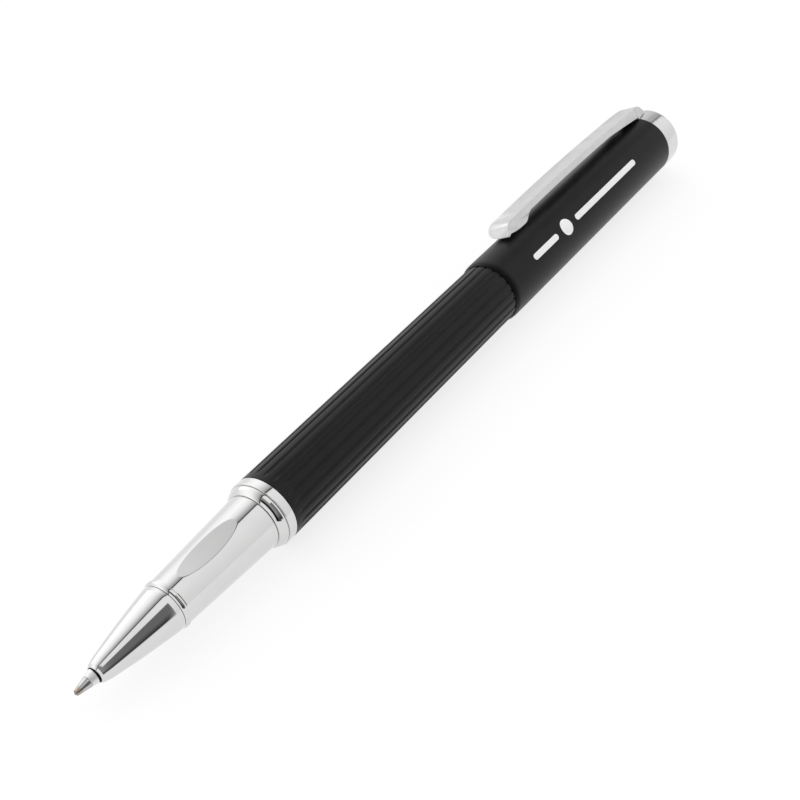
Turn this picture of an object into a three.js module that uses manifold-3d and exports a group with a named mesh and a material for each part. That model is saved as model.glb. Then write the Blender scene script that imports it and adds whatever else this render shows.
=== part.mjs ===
// A metal rollerball pen lying on its side, with its cap posted on the back of the barrel.
// Millimetres, +Z up. +X runs along the pen from the writing tip to the end of the cap, and the
// origin is under the middle of the pen's axis, on the surface that the cap rests on.
// Stations are distances along the pen from the front of the writing ball.
import * as THREE from "three";
import { mergeVertices } from "three/addons/utils/BufferGeometryUtils.js";
import Module from "manifold-3d";

const wasm = await Module();
wasm.setup();

// Lengths: the stations where one visible piece ends and the next begins.
const PEN_LENGTH = 158.6;
const BALL_RADIUS = 0.35;
const SOCKET_REAR = 2.3;
const POINT_CONE_REAR = 3.9;
const NOSE_FRONT = 3.6;
const NOSE_CONE_FRONT = 4.3;
const NOSE_REAR = 16.85;
const GRIP_FRONT = 17.75;
const GRIP_REAR = 35.65;
const COLLAR_REAR = 37.05;
const BARREL_FRONT = 38.75;
const CAP_RIM = 98.4;
const BARREL_REAR = 119.2;
const BARREL_PLUG_REAR = 120.5;
const CAP_TUBE_REAR = 153.9;
const WEB_FRONT = 154.2;
const WEB_REAR = 155.7;

// Radii of the outer surfaces.
const SOCKET_FRONT_RADIUS = 0.45;
const POINT_RADIUS = 1.15;
const MOUTH_RADIUS = 1.21;
const NOSE_FRONT_RADIUS = 1.72;
const NOSE_REAR_RADIUS = 3.75;
const NOSE_BULGE = 0.12;
const NOSE_RING_RADIUS = 3.98;
const GRIP_FRONT_RADIUS = 3.8;
const GRIP_REAR_RADIUS = 4.55;
const COLLAR_FRONT_RADIUS = 4.75;
const COLLAR_RADIUS = 5.35;
const COLLAR_BULGE = 0.1;
const BARREL_RADIUS = 5.5;
const BARREL_RADIUS_AT_RIM = 5.36;
const BARREL_REAR_RADIUS = 5.1;
const CAP_RADIUS = 5.67;
const END_BAND_RADIUS = 5.69;

// Fits: the gap between a piece and the one that holds it, and between two faces that meet.
const FIT = 0.1;
const JOINT_GAP = 0.05;

// Flutes along the barrel.
const FLUTE_COUNT = 22;
const FLUTE_DEPTH = 0.2;
const FLUTE_SHARE = 0.36;
const FLUTE_MARGIN = 0.7;
const FLUTE_RUN_OUT = 2.5;

// Two finger rests, ground across the grip by a wheel that follows the grip's slope.
const REST_STATION = 25.7;
const REST_DEPTH = 0.34;
const REST_WHEEL_RADIUS = 51;
const REST_LEAN = THREE.MathUtils.degToRad(6);

// The screw thread between section and barrel: right-handed, one start.
const THREAD_PITCH = 1;
const THREAD_ROOT_RADIUS = 3.9;
const THREAD_CREST_RADIUS = 4.4;
const THREAD_CLEARANCE = 0.16;
const THREAD_SINK = 0.2;
const THREAD_HALF_ROOT = 0.25;
const THREAD_HALF_CREST = 0.1;
const THREAD_FRONT = 38.7;
const THREAD_TURNS = 4;
const SECTION_BORE = 3.25;
const TENON_RADIUS = 3.2;
const TENON_BORE = 3.35;
const CORE_FRONT = 31.9;
const CORE_REAR = 44;
const INSERT_FRONT = 38.1;
const INSERT_REAR = 45;
const INSERT_RADIUS = 4.85;

// The refill, an international rollerball cartridge.
const REFILL_LENGTH = 111;
const REFILL_RADIUS = 3.05;
const REFILL_BORE = 2.55;
const REFILL_SHOULDER = 21.75;
const REFILL_TUBE_FRONT = 23.1;
const REFILL_PLUG_FLANGE = 1;
const FEED_RADIUS = 0.5;

// The cap.
const CAP_BORE = 5.42;
const INNER_CAP_FRONT = 121.5;
const INNER_CAP_REAR = 140;
const CAP_BUSH_FRONT = 144;
const CAP_BUSH_REAR = 150.3;
const SCREW_RADIUS = 1.2;
const SCREW_HEAD_RADIUS = 2.3;
const FINIAL_RADIUS = 3.6;

// The clip: a channel pressed from strip, bowed along its length. Its front wall slopes down to a toe,
// two side lobes reach down to the cap, and its root bends down into a slot in the end band.
const CLIP_LEAN = THREE.MathUtils.degToRad(30.7);
const CLIP_FRONT = 106.55;
const CLIP_TOE_HEIGHT = 6.75;
const CLIP_TOE_ROUNDING = 0.2;
const CLIP_FACE_FRONT = 108.2;
const CLIP_BROW = 0.5;
const CLIP_BROW_DROP = 0.15;
const CLIP_CREST_STATION = 125.4;
const CLIP_CREST_HEIGHT = 8.42;
const CLIP_BOW_RADIUS = 627;
const CLIP_WIDTH = 4.24;
const CLIP_ROOT_WIDTH = 3.2;
const CLIP_TAPER_FRONT = 152;
const CLIP_THICKNESS = 0.6;
const CLIP_FLANGE = 1.19;
const CLIP_LOBE_STATION = 111;
const CLIP_LOBE_REAR = 111.9;
const CLIP_LOBE_END = 114.7;
const CLIP_LOBE_HEIGHT = 5.89;
const CLIP_LOBE_CURVE = 14.2;
const CLIP_HOLLOW_REAR = 149;
const CLIP_ROOT_FRONT = 153.6;
const CLIP_ROOT_HEIGHT = 5.78;
const CLIP_ROOT_REAR = 156.4;
const CLIP_ROOT_BEND = 2.6;
const CLIP_TANG_HEIGHT = 4.6;
const CLIP_TANG_THICKNESS = 0.8;

// Facets around a turned piece: more where it shows. An even count puts a flat facet underneath.
const SHOWN = 32;
const HIDDEN = 18;

const lerp = THREE.MathUtils.lerp;

const finishes = {
  chrome: { color: 0xe6e7e8, roughness: 0.08, metalness: 1 },
  satinSteel: { color: 0xc4c4c2, roughness: 0.3, metalness: 1 },
  brass: { color: 0xb99a5b, roughness: 0.35, metalness: 1 },
  nickelSilver: { color: 0xb8a888, roughness: 0.25, metalness: 1 },
  blackLacquer: { color: 0x1c1c1c, roughness: 0.5, metalness: 0 },
  blackPlastic: { color: 0x232323, roughness: 0.6, metalness: 0 },
  whitePlastic: { color: 0xe4e2dc, roughness: 0.5, metalness: 0 },
  blackRubber: { color: 0x151515, roughness: 0.85, metalness: 0 },
  inkedFibre: { color: 0x1b1b3a, roughness: 0.9, metalness: 0 },
};

// A solid of revolution about +X. The outline, a list of [station, radius], runs along the outside
// away from the tip and comes back along the bore. One that starts and ends on the axis is solid.
function turned(outline, facets) {
  const points = outline.map(([station, radius]) => new THREE.Vector2(radius, station));
  if (points[0].x > 0) {
    points.push(points[0].clone());
  }
  return new THREE.LatheGeometry(points, facets, Math.PI / facets).rotateZ(-Math.PI / 2);
}

// Points of a quarter turn that rounds an outer edge, from the side face to the outer surface when
// rising, and from the outer surface to the far side face when falling.
function roundedEdge(station, radius, rounding, rising, steps = 2) {
  const centre = rising ? station + rounding : station - rounding;
  return Array.from({ length: steps + 1 }, (_, i) => {
    const turn = (Math.PI / 2) * (i / steps);
    const along = rising ? -Math.cos(turn) : Math.sin(turn);
    const out = rising ? Math.sin(turn) : Math.cos(turn);
    return [centre + rounding * along, radius - rounding * (1 - out)];
  });
}

// A plain ring with both outer edges rounded.
function roundedRing(front, rear, bore, radius, rounding, facets) {
  const outline = [
    [front, bore],
    ...roundedEdge(front, radius, rounding, true),
    ...roundedEdge(rear, radius, rounding, false),
    [rear, bore],
  ];
  return turned(outline, facets);
}

// A slab of even width across the pen, from its side outline of [station, height] points.
function slab(outline, width) {
  const shape = new THREE.Shape(outline.map(([station, height]) => new THREE.Vector2(station, height)));
  const slabShape = new THREE.ExtrudeGeometry(shape, { depth: width, bevelEnabled: false });
  return slabShape.rotateX(Math.PI / 2).translate(0, width / 2, 0);
}

// A skin through rings with equal numbers of points, each running clockwise as the next ring sees
// it. A joined skin returns to its first ring, and an open one is closed by a flat face across its
// first and last rings, which are convex.
function lofted(rings, joined) {
  const count = rings[0].length;
  const positions = rings.flat().flatMap((point) => point.toArray());
  const triangles = [];
  const spans = joined ? rings.length : rings.length - 1;
  for (let ring = 0; ring < spans; ring++) {
    const here = ring * count;
    const next = ((ring + 1) % rings.length) * count;
    for (let i = 0; i < count; i++) {
      const j = (i + 1) % count;
      triangles.push(here + i, next + i, here + j);
      triangles.push(here + j, next + i, next + j);
    }
  }
  if (!joined) {
    const last = (rings.length - 1) * count;
    for (let i = 1; i < count - 1; i++) {
      triangles.push(0, i, i + 1);
      triangles.push(last, last + i + 1, last + i);
    }
  }
  return geometryFrom(positions, triangles);
}

function geometryFrom(positions, triangles) {
  const geometry = new THREE.BufferGeometry();
  geometry.setAttribute("position", new THREE.Float32BufferAttribute(positions, 3));
  geometry.setIndex(Array.from(triangles));
  geometry.computeVertexNormals();
  return geometry;
}

// A point at a station, a distance from the axis and an angle about +X from +Y.
function around(station, radius, angle) {
  return new THREE.Vector3(station, radius * Math.cos(angle), radius * Math.sin(angle));
}

// A right-handed helix about +X swept by a section: a list of [station offset, radius], running
// clockwise when it is drawn with stations to the right and radii upwards.
function helix(section, front, pitch, turns, stepsPerTurn) {
  const steps = Math.round(turns * stepsPerTurn);
  const rings = Array.from({ length: steps + 1 }, (_, step) => {
    const angle = (2 * Math.PI * step) / stepsPerTurn;
    const station = front + (pitch * step) / stepsPerTurn;
    return section.map(([offset, radius]) => around(station + offset, radius, angle));
  });
  return lofted(rings, false);
}

function solidOf(geometry) {
  const bare = geometry.clone();
  bare.deleteAttribute("normal");
  bare.deleteAttribute("uv");
  const merged = mergeVertices(bare);
  const mesh = new wasm.Mesh({
    numProp: 3,
    vertProperties: new Float32Array(merged.attributes.position.array),
    triVerts: new Uint32Array(merged.index.array),
  });
  return new wasm.Manifold(mesh);
}

function geometryOf(solid) {
  const mesh = solid.getMesh();
  return geometryFrom(Array.from(mesh.vertProperties), mesh.triVerts);
}

// The ball and the two metal pieces of the writing point.

function writingBall() {
  return new THREE.SphereGeometry(BALL_RADIUS, 12, 8).translate(BALL_RADIUS, 0, 0);
}

function ballSocket() {
  const lip = 0.2;
  const lipBore = 0.34;
  const seatBore = 0.39;
  const seatRear = 2 * BALL_RADIUS + JOINT_GAP;
  const channel = 0.15;
  const channelFront = 0.95;
  const channelRear = 1.3;
  const shank = 0.6;
  const shankRear = 4.2;
  const shankBore = 0.35;
  const shankBoreFront = 1.5;
  const outline = [
    [BALL_RADIUS, seatBore],
    [lip, lipBore],
    [lip, pointConeRadius(lip)],
    [SOCKET_REAR, pointConeRadius(SOCKET_REAR)],
    [SOCKET_REAR, shank],
    [shankRear, shank],
    [shankRear, shankBore],
    [shankBoreFront, shankBore],
    [channelRear, channel],
    [channelFront, channel],
    [seatRear, seatBore],
  ];
  return turned(outline, HIDDEN);
}

// The cone that the ball socket and the point sleeve share.
function pointConeRadius(station) {
  const share = (station - BALL_RADIUS) / (POINT_CONE_REAR - BALL_RADIUS);
  return lerp(SOCKET_FRONT_RADIUS, POINT_RADIUS, share);
}

function pointSleeve() {
  const front = SOCKET_REAR + JOINT_GAP;
  const shoulder = 8.9;
  const shank = 1;
  const rear = 13;
  const bore = 0.66;
  const outline = [
    [front, bore],
    [front, pointConeRadius(front)],
    [POINT_CONE_REAR, POINT_RADIUS],
    [shoulder, POINT_RADIUS],
    [shoulder, shank],
    [rear, shank],
    [rear, bore],
  ];
  return turned(outline, HIDDEN);
}

// The rest of the refill: a plastic nose, the tube, its fibre reservoir, wick and end plug.

function refillNose() {
  const front = 9;
  const frontRadius = 1.6;
  const chamfer = 0.2;
  const shoulderFront = 13;
  const shoulderRadius = 1.7;
  const neckFront = 15.5;
  const neck = 2.35;
  const sleeveBore = 1.06;
  const sleeveBoreRear = 13.4;
  const spigotRear = 28;
  const spigot = REFILL_BORE - FIT;
  const wickBore = FEED_RADIUS + FIT;
  const outline = [
    [front, sleeveBore],
    [front, frontRadius - chamfer],
    [front + chamfer, frontRadius],
    [shoulderFront, shoulderRadius],
    [neckFront, neck],
    [REFILL_SHOULDER, neck],
    [REFILL_SHOULDER, REFILL_RADIUS],
    [REFILL_TUBE_FRONT - JOINT_GAP, REFILL_RADIUS],
    [REFILL_TUBE_FRONT - JOINT_GAP, spigot],
    [spigotRear, spigot],
    [spigotRear, wickBore],
    [sleeveBoreRear, wickBore],
    [sleeveBoreRear, sleeveBore],
  ];
  return turned(outline, HIDDEN);
}

function refillTube() {
  const rear = REFILL_LENGTH - REFILL_PLUG_FLANGE - JOINT_GAP;
  const outline = [
    [REFILL_TUBE_FRONT, REFILL_BORE],
    [REFILL_TUBE_FRONT, REFILL_RADIUS],
    [rear, REFILL_RADIUS],
    [rear, REFILL_BORE],
  ];
  return turned(outline, HIDDEN);
}

function inkReservoir() {
  const front = 28.4;
  const rear = 104;
  const wickSocketRear = 31;
  const wickBore = FEED_RADIUS + FIT;
  const radius = REFILL_BORE - FIT;
  const outline = [
    [wickSocketRear, 0],
    [wickSocketRear, wickBore],
    [front, wickBore],
    [front, radius],
    [rear, radius],
    [rear, 0],
  ];
  return turned(outline, HIDDEN);
}

function feedRod() {
  const front = 4.4;
  const rear = 30.6;
  const outline = [
    [front, 0],
    [front, FEED_RADIUS],
    [rear, FEED_RADIUS],
    [rear, 0],
  ];
  return turned(outline, HIDDEN / 2);
}

function refillEndPlug() {
  const spigotLength = 4;
  const flangeFront = REFILL_LENGTH - REFILL_PLUG_FLANGE;
  const front = flangeFront - spigotLength;
  const vent = 0.5;
  const outline = [
    [front, vent],
    [front, REFILL_BORE - FIT],
    [flangeFront, REFILL_BORE - FIT],
    [flangeFront, REFILL_RADIUS],
    [REFILL_LENGTH, REFILL_RADIUS],
    [REFILL_LENGTH, vent],
  ];
  return turned(outline, HIDDEN);
}

function refillSpring() {
  const coilRadius = 2.2;
  const wireRadius = 0.25;
  const wireSides = 5;
  const turns = 5;
  const stepsPerTurn = 12;
  const pitch = 1.25;
  const front = REFILL_LENGTH + wireRadius + 2 * FIT;
  const section = Array.from({ length: wireSides }, (_, i) => {
    const turn = (-2 * Math.PI * i) / wireSides;
    return [wireRadius * Math.cos(turn), coilRadius + wireRadius * Math.sin(turn)];
  });
  return helix(section, front, pitch, turns, stepsPerTurn);
}

// The front section: nose cone, ring, grip, collar, threaded core and seal.

// Points along a cone whose side swells a little in the middle.
function bulgedCone(front, frontRadius, rear, rearRadius, bulge) {
  const steps = 4;
  return Array.from({ length: steps + 1 }, (_, i) => {
    const share = i / steps;
    const swell = 4 * bulge * share * (1 - share);
    return [lerp(front, rear, share), lerp(frontRadius, rearRadius, share) + swell];
  });
}

function noseCone() {
  const lipRadius = 1.28;
  const lipRear = 3.95;
  const lipRearRadius = 1.55;
  const rearChamfer = 0.1;
  const tenonRear = 21.5;
  const rearBore = 2.65;
  const rearBoreFront = 15;
  const middleBore = 1.95;
  const middleBoreFront = 8.6;
  const middleBoreRear = 12.4;
  const mouthRear = 7.8;
  const coneRear = NOSE_REAR - rearChamfer;
  const outline = [
    [NOSE_FRONT, MOUTH_RADIUS],
    [NOSE_FRONT, lipRadius],
    [lipRear, lipRearRadius],
    ...bulgedCone(NOSE_CONE_FRONT, NOSE_FRONT_RADIUS, coneRear, NOSE_REAR_RADIUS, NOSE_BULGE),
    [NOSE_REAR, NOSE_REAR_RADIUS - rearChamfer],
    [NOSE_REAR, TENON_RADIUS],
    [tenonRear, TENON_RADIUS],
    [tenonRear, rearBore],
    [rearBoreFront, rearBore],
    [middleBoreRear, middleBore],
    [middleBoreFront, middleBore],
    [mouthRear, MOUTH_RADIUS],
  ];
  return turned(outline, SHOWN);
}

// A bead that swells slowly away from the nose and drops sharply to the grip.
function noseRing() {
  const front = NOSE_REAR + JOINT_GAP;
  const rear = GRIP_FRONT - JOINT_GAP;
  const crest = 17.5;
  const swell = 0.29;
  const rounding = 0.08;
  const steps = 3;
  const rise = Array.from({ length: steps + 1 }, (_, i) => {
    const share = i / steps;
    return [lerp(front, crest, share), NOSE_RING_RADIUS - swell * (1 - share) ** 2];
  });
  const outline = [
    [front, TENON_BORE],
    ...rise,
    [rear - rounding, NOSE_RING_RADIUS],
    [rear, NOSE_RING_RADIUS - rounding],
    [rear, TENON_BORE],
  ];
  return turned(outline, SHOWN);
}

function gripRadius(station) {
  const share = (station - GRIP_FRONT) / (GRIP_REAR - GRIP_FRONT);
  return lerp(GRIP_FRONT_RADIUS, GRIP_REAR_RADIUS, share);
}

// A cutter for one finger rest: the lower side of the wheel that grinds it.
function restCutter() {
  const halfSweep = 0.15;
  const steps = 16;
  const overcut = 2;
  const arc = Array.from({ length: steps + 1 }, (_, i) => {
    const turn = lerp(-halfSweep, halfSweep, i / steps);
    const station = REST_STATION + REST_WHEEL_RADIUS * Math.sin(turn);
    const rise = REST_WHEEL_RADIUS * (1 - Math.cos(turn));
    return [station, gripRadius(station) - REST_DEPTH + rise];
  });
  const top = GRIP_REAR_RADIUS + overcut;
  const width = 2 * GRIP_REAR_RADIUS;
  return slab([...arc, [arc.at(-1)[0], top], [arc[0][0], top]], width);
}

function gripSleeve() {
  const coreBore = THREAD_ROOT_RADIUS + FIT;
  const coreBoreFront = CORE_FRONT - 2 * FIT;
  const outline = [
    [GRIP_FRONT, TENON_BORE],
    [GRIP_FRONT, GRIP_FRONT_RADIUS],
    [GRIP_REAR, GRIP_REAR_RADIUS],
    [GRIP_REAR, coreBore],
    [coreBoreFront, coreBore],
    [coreBoreFront, TENON_BORE],
  ];
  const upper = solidOf(restCutter().rotateX(REST_LEAN));
  const lower = solidOf(restCutter().rotateX(REST_LEAN + Math.PI));
  const sleeve = solidOf(turned(outline, 2 * SHOWN));
  return geometryOf(sleeve.subtract(upper).subtract(lower));
}

function sectionCollar() {
  const front = GRIP_REAR + FIT;
  const bore = THREAD_ROOT_RADIUS + FIT;
  const rounding = 0.15;
  const outline = [
    [front, bore],
    ...bulgedCone(front, COLLAR_FRONT_RADIUS, COLLAR_REAR - rounding, COLLAR_RADIUS, COLLAR_BULGE),
    [COLLAR_REAR, COLLAR_RADIUS - rounding],
    [COLLAR_REAR, bore],
  ];
  return turned(outline, SHOWN);
}

// The thread's section from its root, sunk below the surface it rises from, to its crest.
function threadSection(sink, clearance) {
  const halfRoot = THREAD_HALF_ROOT + clearance;
  const halfCrest = THREAD_HALF_CREST + clearance;
  return [
    [-halfRoot, THREAD_ROOT_RADIUS - sink],
    [-halfCrest, THREAD_CREST_RADIUS + clearance],
    [halfCrest, THREAD_CREST_RADIUS + clearance],
    [halfRoot, THREAD_ROOT_RADIUS - sink],
  ];
}

function sectionCore() {
  const outline = [
    [CORE_FRONT, SECTION_BORE],
    [CORE_FRONT, THREAD_ROOT_RADIUS],
    [CORE_REAR, THREAD_ROOT_RADIUS],
    [CORE_REAR, SECTION_BORE],
  ];
  const section = threadSection(THREAD_SINK, 0);
  const thread = helix(section, THREAD_FRONT, THREAD_PITCH, THREAD_TURNS, HIDDEN);
  return geometryOf(solidOf(turned(outline, HIDDEN)).add(solidOf(thread)));
}

function sealRing() {
  const section = 0.4;
  const bore = THREAD_ROOT_RADIUS + JOINT_GAP;
  const station = (COLLAR_REAR + INSERT_FRONT) / 2;
  const sides = 8;
  const outline = Array.from({ length: sides }, (_, i) => {
    const turn = (2 * Math.PI * i) / sides;
    return [station - section * Math.cos(turn), bore + section + section * Math.sin(turn)];
  });
  return turned(outline, HIDDEN);
}

// The barrel: band, fluted tube, threaded insert and end plug.

function barrelBand() {
  const front = COLLAR_REAR + FIT;
  const rear = BARREL_FRONT - JOINT_GAP;
  const rounding = 0.15;
  return roundedRing(front, rear, INSERT_RADIUS + FIT, BARREL_RADIUS, rounding, SHOWN);
}

function barrelRadius(station) {
  if (station <= CAP_RIM) {
    const share = (station - BARREL_FRONT) / (CAP_RIM - BARREL_FRONT);
    return lerp(BARREL_RADIUS, BARREL_RADIUS_AT_RIM, share);
  }
  const share = (station - CAP_RIM) / (BARREL_REAR - CAP_RIM);
  return lerp(BARREL_RADIUS_AT_RIM, BARREL_REAR_RADIUS, share);
}

// One ring of the barrel's outside: flat lands with a shallow flute between each pair.
function flutedRing(station, radius, depth) {
  const pitchAngle = (2 * Math.PI) / FLUTE_COUNT;
  const halfFlute = (FLUTE_SHARE * pitchAngle) / 2;
  const flutePoints = [
    [-halfFlute, 0],
    [-halfFlute / 2, depth],
    [halfFlute / 2, depth],
    [halfFlute, 0],
  ];
  return Array.from({ length: FLUTE_COUNT }, (_, flute) =>
    flutePoints.map(([turn, sink]) => around(station, radius - sink, flute * pitchAngle + turn)),
  ).flat();
}

function barrelTube() {
  const bore = INSERT_RADIUS + FIT;
  const rearBore = 4.65;
  const boreStep = 2;
  const fluteFront = BARREL_FRONT + FLUTE_MARGIN;
  const fluteRear = BARREL_REAR - FLUTE_MARGIN;
  const outside = [
    [BARREL_FRONT, 0],
    [fluteFront, 0],
    [fluteFront + FLUTE_RUN_OUT, FLUTE_DEPTH],
    [CAP_RIM, FLUTE_DEPTH],
    [fluteRear - FLUTE_RUN_OUT, FLUTE_DEPTH],
    [fluteRear, 0],
    [BARREL_REAR, 0],
  ];
  const outer = outside.map(([station, depth]) => flutedRing(station, barrelRadius(station), depth));
  const inner = [
    flutedRing(BARREL_REAR, rearBore, 0),
    flutedRing(CAP_RIM, rearBore, 0),
    flutedRing(CAP_RIM - boreStep, bore, 0),
    flutedRing(BARREL_FRONT, bore, 0),
  ];
  return lofted([...outer, ...inner].reverse(), true);
}

function barrelInsert() {
  const bore = THREAD_ROOT_RADIUS + 2 * FIT;
  const outline = [
    [INSERT_FRONT, bore],
    [INSERT_FRONT, INSERT_RADIUS],
    [INSERT_REAR, INSERT_RADIUS],
    [INSERT_REAR, bore],
  ];
  const runIn = Math.ceil((THREAD_FRONT - INSERT_FRONT) / THREAD_PITCH);
  const runOut = 1;
  const groove = helix(
    threadSection(0, THREAD_CLEARANCE),
    THREAD_FRONT - runIn * THREAD_PITCH,
    THREAD_PITCH,
    THREAD_TURNS + runIn + runOut,
    HIDDEN,
  );
  return geometryOf(solidOf(turned(outline, HIDDEN)).subtract(solidOf(groove)));
}

function barrelEndPlug() {
  const front = 114;
  const seat = 118.4;
  const springBore = 2.8;
  const spigot = 4.5;
  const rounding = 0.6;
  const flangeRadius = BARREL_REAR_RADIUS - JOINT_GAP;
  const outline = [
    [seat, 0],
    [seat, springBore],
    [front, springBore],
    [front, spigot],
    [BARREL_REAR + JOINT_GAP, spigot],
    [BARREL_REAR + JOINT_GAP, flangeRadius],
    ...roundedEdge(BARREL_PLUG_REAR, flangeRadius, rounding, false),
    [BARREL_PLUG_REAR, 0],
  ];
  return turned(outline, SHOWN);
}

// The cap: tube, inner cap, bush, end band, screw and finial.

function capTube() {
  const lipLength = 1;
  const lipDrop = 0.2;
  const steps = 3;
  const lip = Array.from({ length: steps + 1 }, (_, i) => {
    const share = i / steps;
    return [lerp(CAP_RIM, CAP_RIM + lipLength, share ** 2), CAP_RADIUS - lipDrop * (1 - share) ** 2];
  });
  const outline = [
    [CAP_RIM, CAP_BORE],
    ...lip,
    [CAP_TUBE_REAR, CAP_RADIUS],
    [CAP_TUBE_REAR, CAP_BORE],
  ];
  return turned(outline, SHOWN);
}

function innerCap() {
  const flangeRear = INNER_CAP_FRONT + 2;
  const wall = 4.7;
  const mouth = 3.85;
  const waistStation = INNER_CAP_REAR - 8;
  const waist = 3.3;
  const floorStation = INNER_CAP_REAR - 1.5;
  const floor = 2.6;
  const outline = [
    [floorStation, 0],
    [floorStation, floor],
    [waistStation, waist],
    [INNER_CAP_FRONT, mouth],
    [INNER_CAP_FRONT, CAP_BORE - FIT],
    [flangeRear, CAP_BORE - FIT],
    [flangeRear, wall],
    [INNER_CAP_REAR, wall],
    [INNER_CAP_REAR, 0],
  ];
  return turned(outline, SHOWN);
}

function capBush() {
  const outline = [
    [CAP_BUSH_FRONT, SCREW_RADIUS + FIT],
    [CAP_BUSH_FRONT, CAP_BORE - FIT],
    [CAP_BUSH_REAR, CAP_BORE - FIT],
    [CAP_BUSH_REAR, SCREW_RADIUS + FIT],
  ];
  return turned(outline, SHOWN);
}

function capEndBand() {
  const spigotFront = CAP_BUSH_REAR + 2 * FIT;
  const spigotBore = 4.5;
  const shoulder = CAP_TUBE_REAR + JOINT_GAP;
  const rounding = 1.2;
  const roundingSteps = 4;
  const recess = FINIAL_RADIUS + FIT;
  const outline = [
    [spigotFront, spigotBore],
    [spigotFront, CAP_BORE - FIT],
    [shoulder, CAP_BORE - FIT],
    [shoulder, END_BAND_RADIUS],
    ...roundedEdge(PEN_LENGTH, END_BAND_RADIUS, rounding, false, roundingSteps),
    [PEN_LENGTH, recess],
    [WEB_REAR, recess],
    [WEB_REAR, SCREW_RADIUS + FIT],
    [WEB_FRONT, SCREW_RADIUS + FIT],
    [WEB_FRONT, spigotBore],
  ];
  const slotClearance = 0.25;
  const slotFront = CLIP_ROOT_REAR - CLIP_TANG_THICKNESS - slotClearance;
  const slotRear = CLIP_ROOT_REAR + slotClearance;
  const slotFloor = CLIP_TANG_HEIGHT - slotClearance;
  const slotTop = CAP_RADIUS + 1;
  const slotOutline = [
    [slotFront, slotFloor],
    [slotRear, slotFloor],
    [slotRear, slotTop],
    [slotFront, slotTop],
  ];
  const slot = slab(slotOutline, CLIP_ROOT_WIDTH + 2 * slotClearance).rotateX(-CLIP_LEAN);
  return geometryOf(solidOf(turned(outline, SHOWN)).subtract(solidOf(slot)));
}

function finialScrew() {
  const front = CAP_BUSH_FRONT + 0.5;
  const leadIn = 0.4;
  const headFront = WEB_REAR + JOINT_GAP;
  const headRear = headFront + 0.8;
  const outline = [
    [front, 0],
    [front, SCREW_RADIUS - leadIn / 2],
    [front + leadIn, SCREW_RADIUS],
    [headFront, SCREW_RADIUS],
    [headFront, SCREW_HEAD_RADIUS],
    [headRear, SCREW_HEAD_RADIUS],
    [headRear, 0],
  ];
  const slotDepth = 0.4;
  const slotWidth = 0.5;
  const overcut = 1;
  const slotFloor = headRear - slotDepth;
  const slotTop = headRear + overcut;
  const slotEnd = SCREW_HEAD_RADIUS + overcut;
  const slotOutline = [
    [slotFloor, -slotEnd],
    [slotTop, -slotEnd],
    [slotTop, slotEnd],
    [slotFloor, slotEnd],
  ];
  const slot = slab(slotOutline, slotWidth);
  return geometryOf(solidOf(turned(outline, HIDDEN)).subtract(solidOf(slot)));
}

// A disc with a low dome, just below the rim of the band.
function finialDisc() {
  const front = WEB_REAR + 1;
  const dome = 0.3;
  const edge = PEN_LENGTH - JOINT_GAP - dome;
  const steps = 3;
  const face = Array.from({ length: steps + 1 }, (_, i) => {
    const share = 1 - i / steps;
    return [edge + dome * (1 - share ** 2), FINIAL_RADIUS * share];
  });
  return turned([[front, 0], [front, FINIAL_RADIUS], ...face], SHOWN);
}

// The height of the clip's bowed outer face.
function clipFace(station) {
  return CLIP_CREST_HEIGHT - (station - CLIP_CREST_STATION) ** 2 / (2 * CLIP_BOW_RADIUS);
}

// Points along the clip, some depth below its outer face.
function clipRun(from, to, depth, steps) {
  return Array.from({ length: steps + 1 }, (_, i) => {
    const station = lerp(from, to, i / steps);
    return [station, clipFace(station) - depth];
  });
}

// A quarter turn of the root's bend, from the strap's direction to the tang's.
function clipBend(radius, steps) {
  const centreStation = CLIP_ROOT_REAR - CLIP_ROOT_BEND;
  const centreHeight = clipFace(centreStation) - CLIP_ROOT_BEND;
  return Array.from({ length: steps + 1 }, (_, i) => {
    const turn = (Math.PI / 2) * (i / steps);
    return [centreStation + radius * Math.sin(turn), centreHeight + radius * Math.cos(turn)];
  });
}

// The lower edge of the flange and its lobe, from the root to the toe: along the flange, down a
// smooth step into the lobe, and up a long curve to the front.
function clipLowerEdge() {
  const flangeEnd = clipFace(CLIP_LOBE_END) - CLIP_FLANGE;
  const steps = 3;
  const step = Array.from({ length: steps }, (_, i) => {
    const share = (i + 1) / steps;
    const eased = share * share * (3 - 2 * share);
    return [lerp(CLIP_LOBE_END, CLIP_LOBE_REAR, share), lerp(flangeEnd, CLIP_LOBE_HEIGHT, eased)];
  });
  const toe = CLIP_FRONT + CLIP_TOE_ROUNDING;
  const curve = Array.from({ length: steps + 1 }, (_, i) => {
    const station = lerp(CLIP_LOBE_STATION, toe, i / steps);
    return [station, CLIP_LOBE_HEIGHT + (station - CLIP_LOBE_STATION) ** 2 / (2 * CLIP_LOBE_CURVE)];
  });
  return [...clipRun(CLIP_ROOT_FRONT, CLIP_LOBE_END, CLIP_FLANGE, 6), ...step, ...curve];
}

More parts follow.
